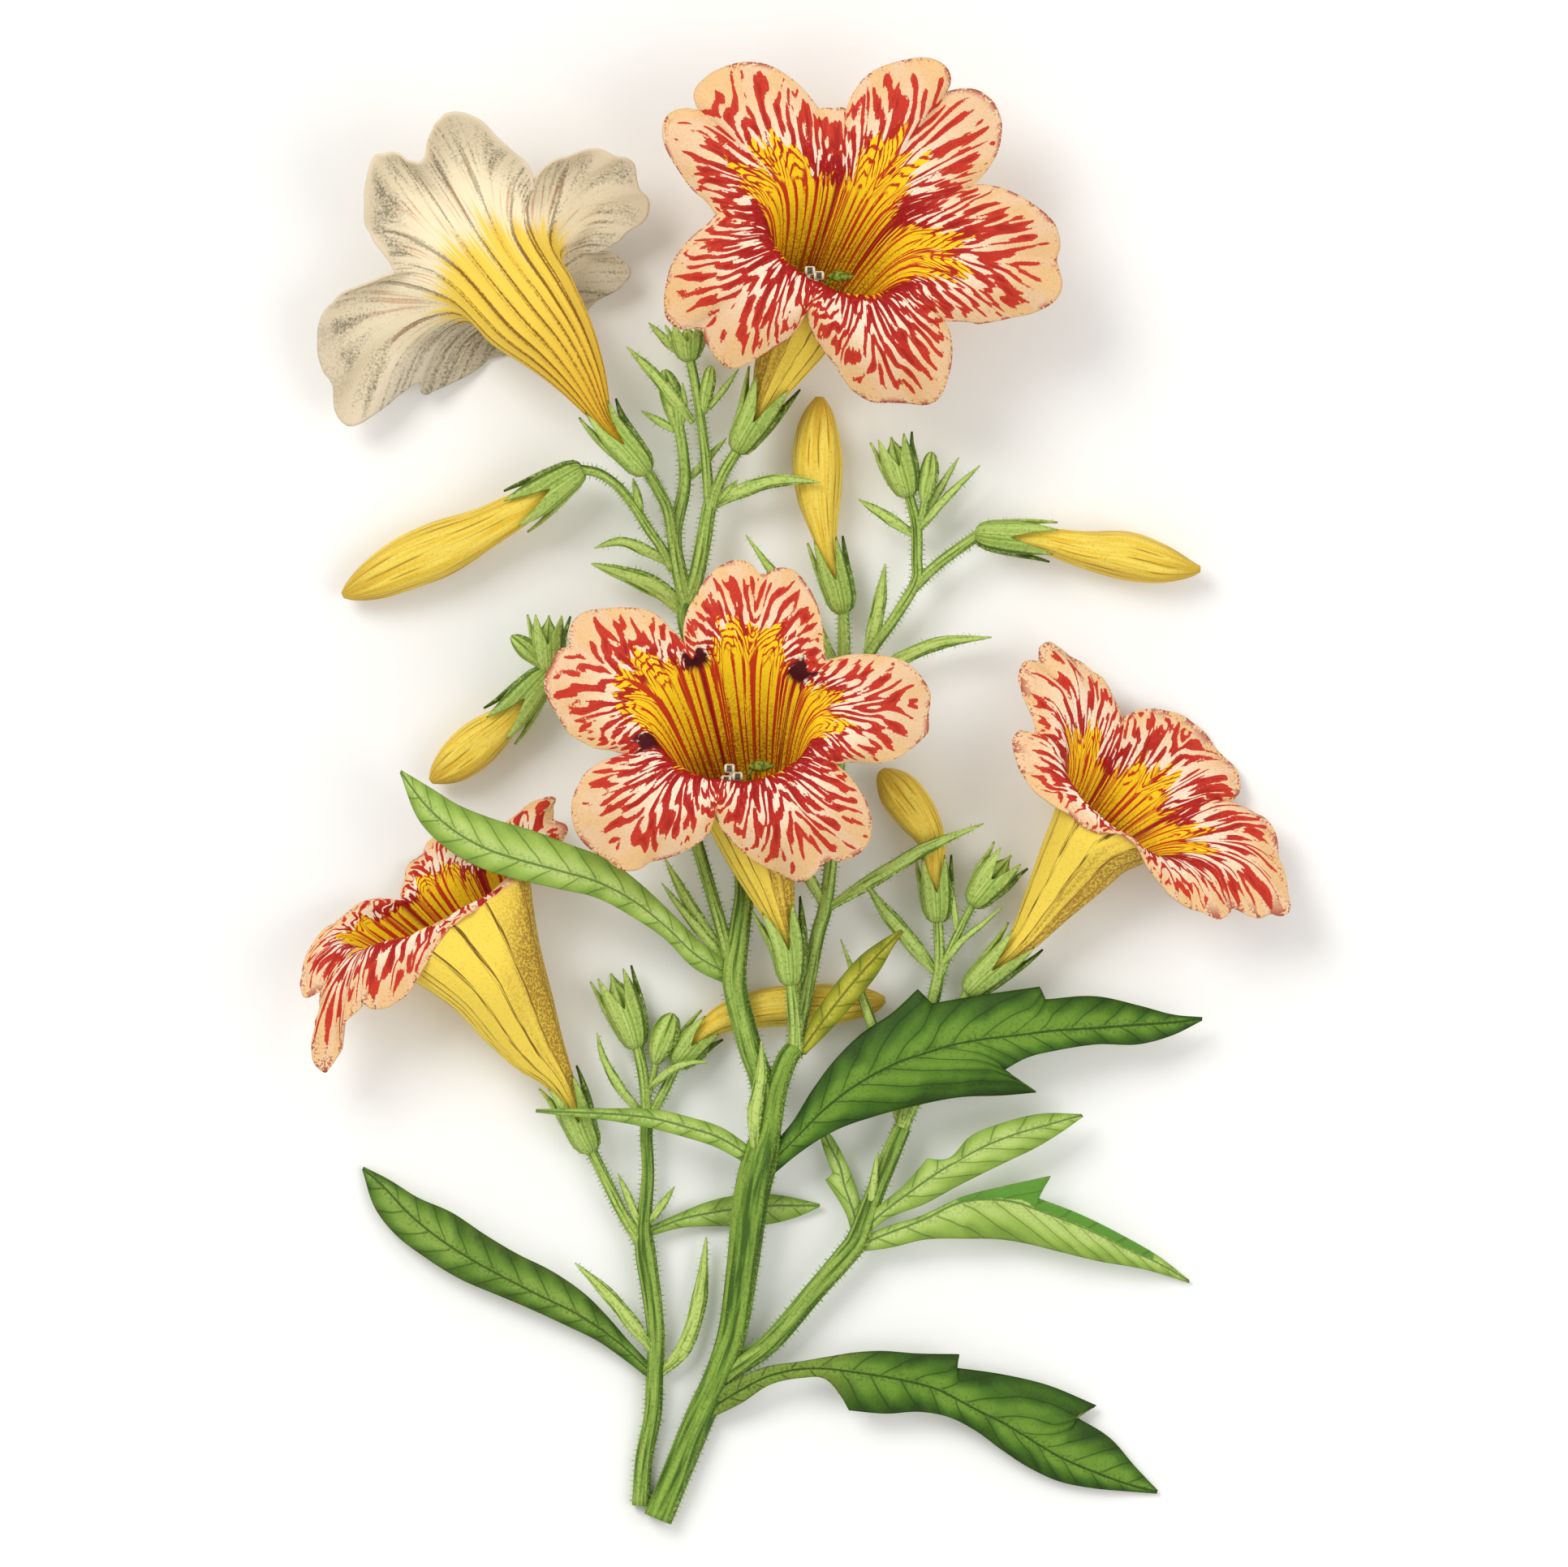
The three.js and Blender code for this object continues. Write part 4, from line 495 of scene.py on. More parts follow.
class Skin:
    """Points, faces and three marks at each point, which the colours are worked out from."""

    def __init__(self):
        self.points, self.faces, self.count = [], [], 0
        self.marks = {"mark": [], "tone": [], "paint": []}

    def add(self, points, mark, tone, paint=(0, 0, 0)):
        """Add points with their marks, and say the number of the first one."""
        shape = points.shape[:-1]
        for store, parts in zip(self.marks.values(), (mark, tone, paint)):
            store.append(np.stack([np.broadcast_to(part, shape).reshape(-1) for part in parts], -1))
        self.points.append(points.reshape(-1, 3))
        first = self.count
        self.count += len(self.points[-1])
        return first

    def strip(self, first, rows, columns, closed, flip=False):
        """Faces of a grid of points whose first point is number first."""
        i = np.arange(rows - 1)[:, None] * columns
        k = np.arange(columns if closed else columns - 1)[None, :]
        after = (k + 1) % columns
        quads = np.stack([i + k, i + after, i + columns + after, i + columns + k], -1)
        quads = quads.reshape(-1, 4) + first
        self.faces.append(quads[:, ::-1] if flip else quads)

    def join(self, ring, other):
        """Faces between two rings of as many points."""
        self.faces.append(np.stack([ring, np.roll(ring, -1), np.roll(other, -1), other], -1))

    def fan(self, ring, centre):
        """Faces from a ring of points to one point."""
        self.faces.append(np.stack([ring, np.roll(ring, -1), np.full(len(ring), centre)], -1))

    def cup(self, rows, normals, half, floor, outer_marks, inner_marks, foot_marks, pit_marks):
        """Two faces off a closed grid, joined at its edge. The inner one starts at row floor."""
        count, columns = rows.shape[:2]
        ring = np.arange(columns)
        outer = self.add(rows + normals * half, *outer_marks)
        inner = self.add((rows - normals * half)[floor:], *inner_marks)
        self.strip(outer, count, columns, True)
        self.strip(inner, count - floor, columns, True, True)
        self.join(outer + (count - 1) * columns + ring, inner + (count - floor - 1) * columns + ring)
        foot = self.add(rows[0].mean(0)[None], *foot_marks)
        pit = self.add(rows[floor].mean(0)[None], *pit_marks)
        self.fan((outer + ring)[::-1], foot)
        self.fan(inner + ring, pit)

    def piece(self, name, material, slot, nodes):
        """Make the visible piece that stands for some nodes of the frame."""
        points = np.concatenate(self.points)
        points[:, 2] = np.maximum(points[:, 2], LEAST_HEIGHT)
        mesh = bpy.data.meshes.new(name)
        mesh.vertices.add(len(points))
        mesh.vertices.foreach_set("co", points.astype(np.float32).ravel())
        loops = np.concatenate([face.ravel() for face in self.faces])
        sizes = np.concatenate([np.full(len(face), face.shape[1]) for face in self.faces])
        mesh.loops.add(len(loops))
        mesh.loops.foreach_set("vertex_index", loops.astype(np.int32))
        mesh.polygons.add(len(sizes))
        mesh.polygons.foreach_set("loop_start", (np.cumsum(sizes) - sizes).astype(np.int32))
        mesh.update(calc_edges=True)
        mesh.polygons.foreach_set("use_smooth", np.ones(len(sizes), bool))
        for key, values in self.marks.items():
            store = mesh.attributes.new(key, "FLOAT_VECTOR", "POINT")
            store.data.foreach_set("vector", np.concatenate(values).astype(np.float32).ravel())
        mesh.materials.append(material)
        obj = bpy.data.objects.new(name, mesh)
        bpy.context.scene.collection.objects.link(obj)
        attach(obj, "root")
        if nodes:
            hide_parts(*nodes)


def grid_normals(rows, closed):
    """Surface directions of a grid of points. A closed grid joins its last column to its first."""
    ahead = np.gradient(rows, axis=0)
    beside = np.roll(rows, -1, 1) - np.roll(rows, 1, 1) if closed else np.gradient(rows, axis=1)
    return unit(np.cross(beside, ahead))


def outward(rows):
    """Surface directions of a closed grid of points, away from its axis."""
    normals = grid_normals(rows, True)
    return -normals if (normals[2] * (rows[2] - rows[2].mean(0))).sum() < 0 else normals


hairs = []


def grow(roots, directions, scatter):
    """Keep the roots of some hairs, each of which leans a little its own way."""
    hairs.append((roots, unit(directions + rng.normal(0, scatter, directions.shape))))


def rod_hairs(points, density):
    """Scatter hairs over a rod, so many to each of its rings."""
    rows, sides = points.shape[:2]
    spots = rng.integers(1, rows - 1, rows * density), rng.integers(0, sides, rows * density)
    grow(points[spots], unit(points[spots] - points.mean(1)[spots[0]]), 0.2)


def rod(skin, route, sides, spacing, young=0.0, start=0.0, swell=None, kind=0.0):
    """A round rod along a route, with closed ends."""
    total = paces(route)[0][-1]
    count = max(3, int((total - start) / spacing))
    distances = np.linspace(start, total, count + 1)
    centre, side, rise, radius = stations(route, distances)
    angle = 2 * math.pi * np.arange(sides) / sides - math.pi / 2
    shape = 1 if swell is None else swell(distances[:, None] / total, angle[None, :])
    reach = (radius * STEP)[:, None] * shape * np.ones(sides)
    points = centre[:, None] + side[:, None] * (reach * np.cos(angle))[..., None] \
        + rise[:, None] * (reach * np.sin(angle))[..., None]
    length = distances * STEP / MM
    mark = (np.cos(angle)[None], np.sin(angle)[None], (distances / total)[:, None])
    first = skin.add(points, mark, (young, length[:, None], kind))
    skin.strip(first, count + 1, sides, True)
    for row, order in ((0, -1), (count, 1)):
        cap = skin.add(centre[row][None], (0, 0, row / count), (young, length[row], kind))
        skin.fan((first + row * sides + np.arange(sides))[::order], cap)
    return points


def blade(skin, rows, mark, tone, paint=(0, 0, 0)):
    """A thin blade between two faces, the third mark 0 on the upper one and 1 on the underside."""
    normals = grid_normals(rows, False)
    if normals[..., 2].mean() < 0:
        normals = -normals
    count, columns = rows.shape[:2]
    across = np.linspace(-1, 1, columns)
    half = 0.5 * (LEAF_EDGE_THICK + (LEAF_THICK - LEAF_EDGE_THICK) * (1 - across ** 4))[None, :, None]
    top = skin.add(rows + normals * half, (*mark, 0.0), tone, paint)
    under = skin.add(rows - normals * half, (*mark, 1.0), tone, paint)
    flip = np.cross(rows[0, -1] - rows[0, 0], rows[-1, 0] - rows[0, 0])[2] < 0
    skin.strip(top, count, columns, False, flip)
    skin.strip(under, count, columns, False, not flip)
    rim = np.concatenate([
        np.arange(columns), np.arange(1, count) * columns + columns - 1,
        (count - 1) * columns + np.arange(columns - 2, -1, -1), np.arange(count - 2, 0, -1) * columns,
    ])
    after = np.roll(rim, -1)
    wall = np.stack([top + rim, under + rim, under + after, top + after], -1)
    skin.faces.append(wall[:, ::-1] if flip else wall)


def corner_line(points, per_span, sharpest=48):
    """A curve through points that keeps the corners sharper than some degrees."""
    points = np.asarray(points, float)
    step = np.diff(points, axis=0)
    length = np.linalg.norm(step, axis=1, keepdims=True)
    heading = step / np.maximum(length, 1e-9)
    sharp = math.cos(math.radians(sharpest))
    enter, leave = np.empty_like(points), np.empty_like(points)
    enter[0] = leave[0] = heading[0]
    enter[-1] = leave[-1] = heading[-1]
    for i in range(1, len(points) - 1):
        if heading[i - 1] @ heading[i] < sharp:
            enter[i], leave[i] = heading[i - 1], heading[i]
        else:
            enter[i] = leave[i] = unit(heading[i - 1] * length[i] + heading[i] * length[i - 1])
    t = (np.arange(per_span) / per_span)[:, None]
    h = (2 * t ** 3 - 3 * t ** 2 + 1, t ** 3 - 2 * t ** 2 + t, 3 * t ** 2 - 2 * t ** 3, t ** 3 - t ** 2)
    out = []
    for i, size in enumerate(length):
        bends = h[1] * leave[i] * size, h[3] * enter[i + 1] * size
        out.append(h[0] * points[i] + bends[0] + h[2] * points[i + 1] + bends[1])
    return np.concatenate(out + [points[-1:]])


def lobe_edge(points, heights):
    """One lobe's edge from cleft to cleft, as evenly spaced points in metres."""
    line = corner_line(stops(points, 2), 5)
    paced = gone(line)
    share = np.arange(LOBE_COLUMNS) / LOBE_COLUMNS
    plan = [np.interp(share * paced[-1], paced, line[:, i]) for i in (0, 1)]
    rise = along(stops(heights, 1), share)[:, 0]
    return at(np.stack([*plan, rise], -1))


def petal_rows(bloom):
    """Points of a corolla's middle surface in columns, from the tube's base to the edge."""
    mouth = bloom["mouth"]
    centre, across, up = at(mouth["centre"]), way(mouth["across"]), way(mouth["up"])
    path = stops(bloom["path"])[1:]
    out = unit(np.cross(across, up))
    hand = 1.0 if out @ (centre - at(path[-1])) > 0 else -1.0
    heights = bloom["heights"] + bloom["heights"][:1]
    each = len(bloom["heights"]) // LOBES
    lobes = [lobe_edge(points, heights[each * i:each * i + each + 1])
             for i, points in enumerate(bloom["lobes"])]

    def turn(p):
        return math.atan2((p - centre) @ up / (up @ up), (p - centre) @ across / (across @ across))

    angles = []
    for edge, following in zip(lobes, lobes[1:] + lobes[:1]):
        start = turn(edge[0])
        sweep = -((start - turn(following[0])) % (2 * math.pi))
        if abs(sweep) > math.pi:
            sweep += 2 * math.pi
        angles.append(start + sweep * np.arange(LOBE_COLUMNS) / LOBE_COLUMNS)
    edge, angles = np.concatenate(lobes), np.concatenate(angles)
    cos, sin = np.cos(angles)[:, None], np.sin(angles)[:, None]
    places = [*at(path), centre]
    rows = []
    for j, stop in enumerate(path):
        heading = unit(places[j + 1] - places[max(0, j - 1)])
        side = unit(across - heading * (across @ heading))
        rise = np.cross(heading, side) * hand
        rows.append(places[j] + (stop[3] * STEP - SOLID_PETAL_HALF) * (cos * side + sin * rise))
    rim = centre + cos * across + sin * up
    bulge = out * hand * LOBE_BULGE * np.linalg.norm(edge - rim, axis=1, keepdims=True)
    rows = np.array(rows + [rim + (edge - rim) * s + bulge * s * (1 - s) for s in (0, 0.5, 1)])
    mouth_row, last = len(path), len(rows) - 1
    place = np.concatenate([np.linspace(0, mouth_row, TUBE_ROWS, endpoint=False),
                            np.linspace(mouth_row, last, LIMB_ROWS)])
    reach = (place - mouth_row) / np.where(place < mouth_row, mouth_row, last - mouth_row)
    return along(rows, place / last), reach, 2 * TUBE_ROWS // mouth_row


def corolla(name, material, slot, tints, spots, ruffle, seed, painted_shade_side=(0, 0, 0)):
    """A thin trumpet with five lobes.

    tints: the yellow of each lobe, or its painted grey shade on the white bloom. spots: the dark mark of
    each cleft, painted grey shade on the white bloom. The last argument is the direction of the tube's side
    that is painted with brown shade.
    """
    rows, reach, floor = petal_rows(BLOOMS[name])
    columns = rows.shape[1]
    lobe = (np.arange(columns) % LOBE_COLUMNS) / LOBE_COLUMNS * 2 - 1
    which = np.arange(columns) // LOBE_COLUMNS
    turn = 2 * math.pi * np.arange(columns) / columns
    limb = np.clip(reach, 0, 1)[:, None]
    phases = rng.uniform(0, 6.28, (3, LOBES))[:, which]
    wave = sum(height * np.sin(lobe * pace + phase) for (height, pace), phase in zip(RUFFLE_WAVES, phases))
    ruffles = ruffle * limb ** 2.2 * wave * (1 - lobe ** 6)
    bowl = LOBE_BOWL * np.cos(lobe * math.pi) * limb * (1 - limb)
    ribbed = smooth(reach, -0.9, -0.5) * (1 - smooth(reach, 0.2, 0.7))
    ribs = RIB_HEIGHT * np.sin(turn * RIBS) * ribbed[:, None]
    rows = rows + outward(rows) * ((ruffles + bowl + ribs) * STEP)[..., None]
    normals = outward(rows)
    half = (PETAL_HALF + (PETAL_EDGE_HALF - PETAL_HALF) * limb ** 3)[..., None]
    yellow = np.array(tints)[which] * (1 - lobe ** 4)
    spot = np.array(spots)[np.where(lobe < 0, which, (which + 1) % LOBES)] * smooth(np.abs(lobe), 0.3, 0.8)
    paint = yellow[None], spot[None], seed
    # Outside a painted bloom, the first paint mark is painted shade, full on the tube's side that faces the
    # given direction.
    cover = (smooth(normals @ np.array(painted_shade_side, float), 0.1, 0.8), 0, seed) if any(painted_shade_side) else paint
    tone = np.cos(turn)[None], np.sin(turn)[None], np.sin(math.pi * lobe)[None]
    beside, plain = np.abs(lobe)[None], (0, 0, 0)
    skin = Skin()
    skin.cup(rows, normals, half, floor,
             ((beside, reach[:, None], 1.0), tone, cover),
             ((beside, reach[floor:, None], 0.0), tone, paint),
             ((0, -1, 1), plain), ((0, reach[floor], 0), plain))
    skin.piece(f"petals_{name}", material, slot, [f"corolla_{name}"])


def calyx(skin, path, length=100.0, cleft=0.42, spread=9.0, young=0.7, flare=0.0):
    """Five narrow sepals joined in a cup round the first stretch of a path."""
    columns = SEPAL_COLUMNS * SEPALS
    angle = 2 * math.pi * np.arange(columns) / columns + math.pi / 2
    away = np.abs(((np.arange(columns) / SEPAL_COLUMNS + 0.5) % 1) * 2 - 1)
    edge = length * (cleft + (1 - cleft) * away ** 1.25)
    points, reach = [], []

    def ring(distance, radius):
        centre, side, rise, _ = stations(path, np.maximum(0.0, distance))
        spokes = side * np.cos(angle)[:, None] + rise * np.sin(angle)[:, None]
        points.append(centre + spokes * (radius * STEP)[:, None])
        reach.append(distance / length)

    for distance, radius in CALYX_FOOT:
        ring(np.full(columns, distance), np.full(columns, radius))
    shoulder, waist = CALYX_FOOT[-1]
    top = np.maximum(CALYX_MOUTH, stations(path, edge)[3] + spread)
    for share in np.arange(1, SEPAL_ROWS + 1) / SEPAL_ROWS:
        distance = shoulder + (edge - shoulder) * share
        radius = np.maximum(waist + (top - waist) * share, stations(path, distance)[3] + CALYX_GAP)
        radius = radius + SEPAL_BULGE * away * math.sin(math.pi * share)
        ring(distance, radius + flare * away ** 2 * share ** 3)
    rows, reach = np.array(points), np.array(reach)
    count = len(rows)
    normals = outward(rows)
    half = np.linspace(SEPAL_HALF, SEPAL_TIP_HALF, count)[:, None, None]
    tone, cap = (young, away[None] * 30, 0), ((0, 0, 0), (young, 0, 0))
    skin.cup(rows, normals, half, 1, ((np.cos(angle)[None], np.sin(angle)[None], reach), tone),
             ((np.cos(angle)[None], np.sin(angle)[None], reach[1:]), tone), cap, cap)
    spots = rng.integers(1, count - 1, CALYX_HAIRS), rng.integers(0, columns, CALYX_HAIRS)
    grow(rows[spots], normals[spots], 0.25)


def pod_swell(share, angle):
    """The five low ridges of a closed green bud."""
    return 1 + 0.05 * np.cos(angle * 5 + 0.5)


def young_swell(share, angle):
    """The closed young petals of an open green bud: round towards their tip."""
    return pod_swell(share, angle) * (1 - 0.9 * smooth(share, 0.62, 1.0))


def bud_swell(share, angle):
    """Furled petals: shallow pleats with a slight twist."""
    fade = smooth(share, 0.1, 0.35) * (1 - smooth(share, 0.9, 1.0))
    return 1 + fade * (0.055 * np.cos(angle * 5 + share * 1.8) + 0.015 * np.cos(angle * 15 + share * 2))


def narrow_leaf(skin, half, route):
    """A small pointed leaf, folded a little along its midrib."""
    total = paces(route)[0][-1]
    count = max(10, int(total / 5))
    u = np.linspace(0, 1, count)
    width = half * np.interp(u, np.linspace(0, 1, len(NARROW_WIDTHS)), NARROW_WIDTHS)
    width = width * (1 + 0.05 * np.sin(u * 17 + half))
    centre, side, _, _ = stations(route, u * total)
    across = np.linspace(-1, 1, NARROW_COLUMNS)
    offset = (width * STEP)[:, None] * across[None]
    rows = centre[:, None] + side[:, None] * offset[..., None]
    rows[..., 2] += -NARROW_FOLD * np.abs(offset) + NARROW_TWIST * offset * np.sin(u * 9)[:, None]
    blade(skin, rows, (across[None], u[:, None]), (0.85, (u * total * STEP / MM)[:, None], 0))
    spots = rng.integers(1, count - 1, int(total / 3))
    edge = rng.integers(0, 2, len(spots))
    grow(rows[spots, edge * (NARROW_COLUMNS - 1)], (edge * 2 - 1)[:, None] * side[spots], 0.3)


def broad_leaf(name, data, phase):
    """A broad leaf, arched across, with a sunk midrib and slightly waved edges."""
    grid, tip = stops(data["rows"], 7), np.array(data["tip"], float)
    spread = unit(grid[-1, 5:] - grid[-1, :2]) * 2
    ends = grid[:, :2], tip[:2] - spread, grid[:, 2:5], tip, grid[:, 5:], tip[:2] + spread
    left, rib, right = (corner_line(np.vstack(ends[i:i + 2]), LEAF_SPAN_ROWS) for i in (0, 2, 4))
    midrib = rib[:, None, :2]
    share = np.linspace(-1, 1, LEAF_COLUMNS)[None]
    edge = np.where(share[..., None] < 0, left[:, None], right[:, None]) - midrib
    plan = midrib + edge * np.abs(share)[..., None]
    away = np.linalg.norm(plan - midrib, axis=-1)
    u = np.linspace(0, 1, len(rib))[:, None]
    length = gone(rib[:, :2])[:, None]
    drop = data["drop"] * away * np.abs(share)
    wave = LEAF_WAVE * np.linalg.norm(edge, axis=-1) * share ** 2 \
        * np.sin(length / LEAF_WAVE_LENGTH + np.sign(share) * 1.3 + phase)
    groove = -GROOVE_DEPTH * np.exp(-(away / GROOVE_WIDTH) ** 2) * (1 - u) ** 0.3
    z = rib[:, None, 2] - drop + wave + groove
    stalk = 1 - smooth(u, 0.5 * data["stalk"], data["stalk"]) if "stalk" in data else 0 * u
    start, end = data.get("turned", (2, 3))
    turned = smooth(u, start - 0.04, start + 0.02) * (1 - smooth(u, end - 0.08, end))
    skin = Skin()
    blade(skin, at(np.concatenate([plan, z[..., None]], -1)), (share, u),
          (stalk, length * STEP / MM, away * STEP / MM), (turned * np.clip(-4 * share, 0, 1), 0, 0))
    material, slot = LEAF_PAINTS[data["colour"]]
    skin.piece(f"leaf_{name}", material, slot, [f"leaf_{name}"])


# Procedural materials

# A step's two numbers are where a mark begins and where it is full. The marks that it reads are:
# petals: distance from the lobe's midline, reach, 1 outside; cosine and sine round the bloom, lean to the
#   midline's left or right; yellow, which is painted grey shade on the white bloom and painted shade on one
#   side of a painted bloom's tube outside; dark spot, which is painted grey shade on the white bloom; seed.
#   Reach is -1 at the tube's base, 0 at its mouth and 1 at a lobe's edge.
# rods: cosine and sine round the rod, share of its length; youth, length in mm, 1 on an anther or a stigma.
# leaves: place across, share of the length, 1 below; stalk, length and distance from the midrib in mm;
#   turned over.
SHEEN = 0.2
RELIEF_STRENGTH = 0.6


def linear(code):
    """A screen colour such as #c8302a as linear light."""
    values = [int(code[i:i + 2], 16) / 255 for i in (1, 3, 5)]
    return tuple(v / 12.92 if v <= 0.04045 else ((v + 0.055) / 1.055) ** 2.4 for v in values) + (1.0,)


class Value:
    """An output of a material's nodes, on which sums and layers are written as usual."""

    def __init__(self, shader, socket):
        self.shader, self.socket = shader, socket

    def math(self, operation, *others):
        return self.shader.math(operation, self, *others)

    def __add__(self, other):
        return self.math("ADD", other)

    def __sub__(self, other):
        return self.math("SUBTRACT", other)

    def __rsub__(self, other):
        return self.shader.math("SUBTRACT", other, self)

    def __mul__(self, other):
        return self.math("MULTIPLY", other)

    def sine(self):
        return self.math("SINE")

    def step(self, low, high):
        """0 below low, 1 above high, smooth between them. low may be above high."""
        return self.shader.put("ShaderNodeMapRange", 0, (0, self), (1, low), (2, high),
                               interpolation_type="SMOOTHSTEP")

    def under(self, share, layer):
        """This colour under a layer that covers a share of it."""
        return self.shader.mix(share, self, layer)


class Shader:
    """One material, and short names for its nodes."""

    def __init__(self, name, roughness):
        self.material = bpy.data.materials.new(name)
        self.material.use_nodes = True
        self.tree = self.material.node_tree
        self.surface = self.tree.nodes["Principled BSDF"]
        self.surface.inputs["Roughness"].default_value = roughness
        self.surface.inputs["Specular IOR Level"].default_value = SHEEN

    def link(self, value, node, key):
        if isinstance(value, Value):
            self.tree.links.new(value.socket, node.inputs[key])
        else:
            node.inputs[key].default_value = value

    def put(self, kind, output, *inputs, **settings):
        node = self.tree.nodes.new(kind)
        for key, value in settings.items():
            setattr(node, key, value)
        for key, value in inputs:
            self.link(value, node, key)
        return Value(self, node.outputs[output])

    def parts(self, key):
        """The three numbers of one of a skin's marks."""
        vector = self.put("ShaderNodeAttribute", "Vector", attribute_name=key)
        return [self.put("ShaderNodeSeparateXYZ", axis, (0, vector)) for axis in range(3)]

    def math(self, operation, *values):
        return self.put("ShaderNodeMath", 0, *enumerate(values), operation=operation)

    def mix(self, share, first, second):
        first, second = (linear(c) if isinstance(c, str) else c for c in (first, second))
        return self.put("ShaderNodeMix", 2, (0, share), (6, first), (7, second), data_type="RGBA")

    def vector(self, x, y, z):
        return self.put("ShaderNodeCombineXYZ", 0, (0, x), (1, y), (2, z))

    def noise(self, vector, scale, detail=2.0, distortion=0.0):
        return self.put("ShaderNodeTexNoise", "Fac", (0, vector), ("Scale", scale), ("Detail", detail),
                        ("Distortion", distortion), noise_dimensions="3D")

    def cloud(self, scale, detail=1.0, distortion=0.0):
        """Noise in the space of the piece."""
        return self.noise(self.put("ShaderNodeTexCoord", "Object"), scale, detail, distortion)

    def finish(self, colour, height=None, depth=0.0):
        """Paint the surface, with a relief of a depth in millimetres where there is a height."""
        self.link(colour, self.surface, "Base Color")
        if height is not None:
            relief = ("Strength", RELIEF_STRENGTH), ("Distance", depth * MM), ("Height", height)
            self.link(self.put("ShaderNodeBump", 0, *relief), self.surface, "Normal")
        return self.material


def streaks(s, cos, sin, reach, seed, turns, lengthwise, detail=1.0, distortion=0.0):
    """Noise drawn out along the petals, about -0.2 to 0.2."""
    place = s.vector(cos * turns, sin * turns, reach * lengthwise + seed)
    return s.noise(place, 1.0, detail, distortion) - 0.5


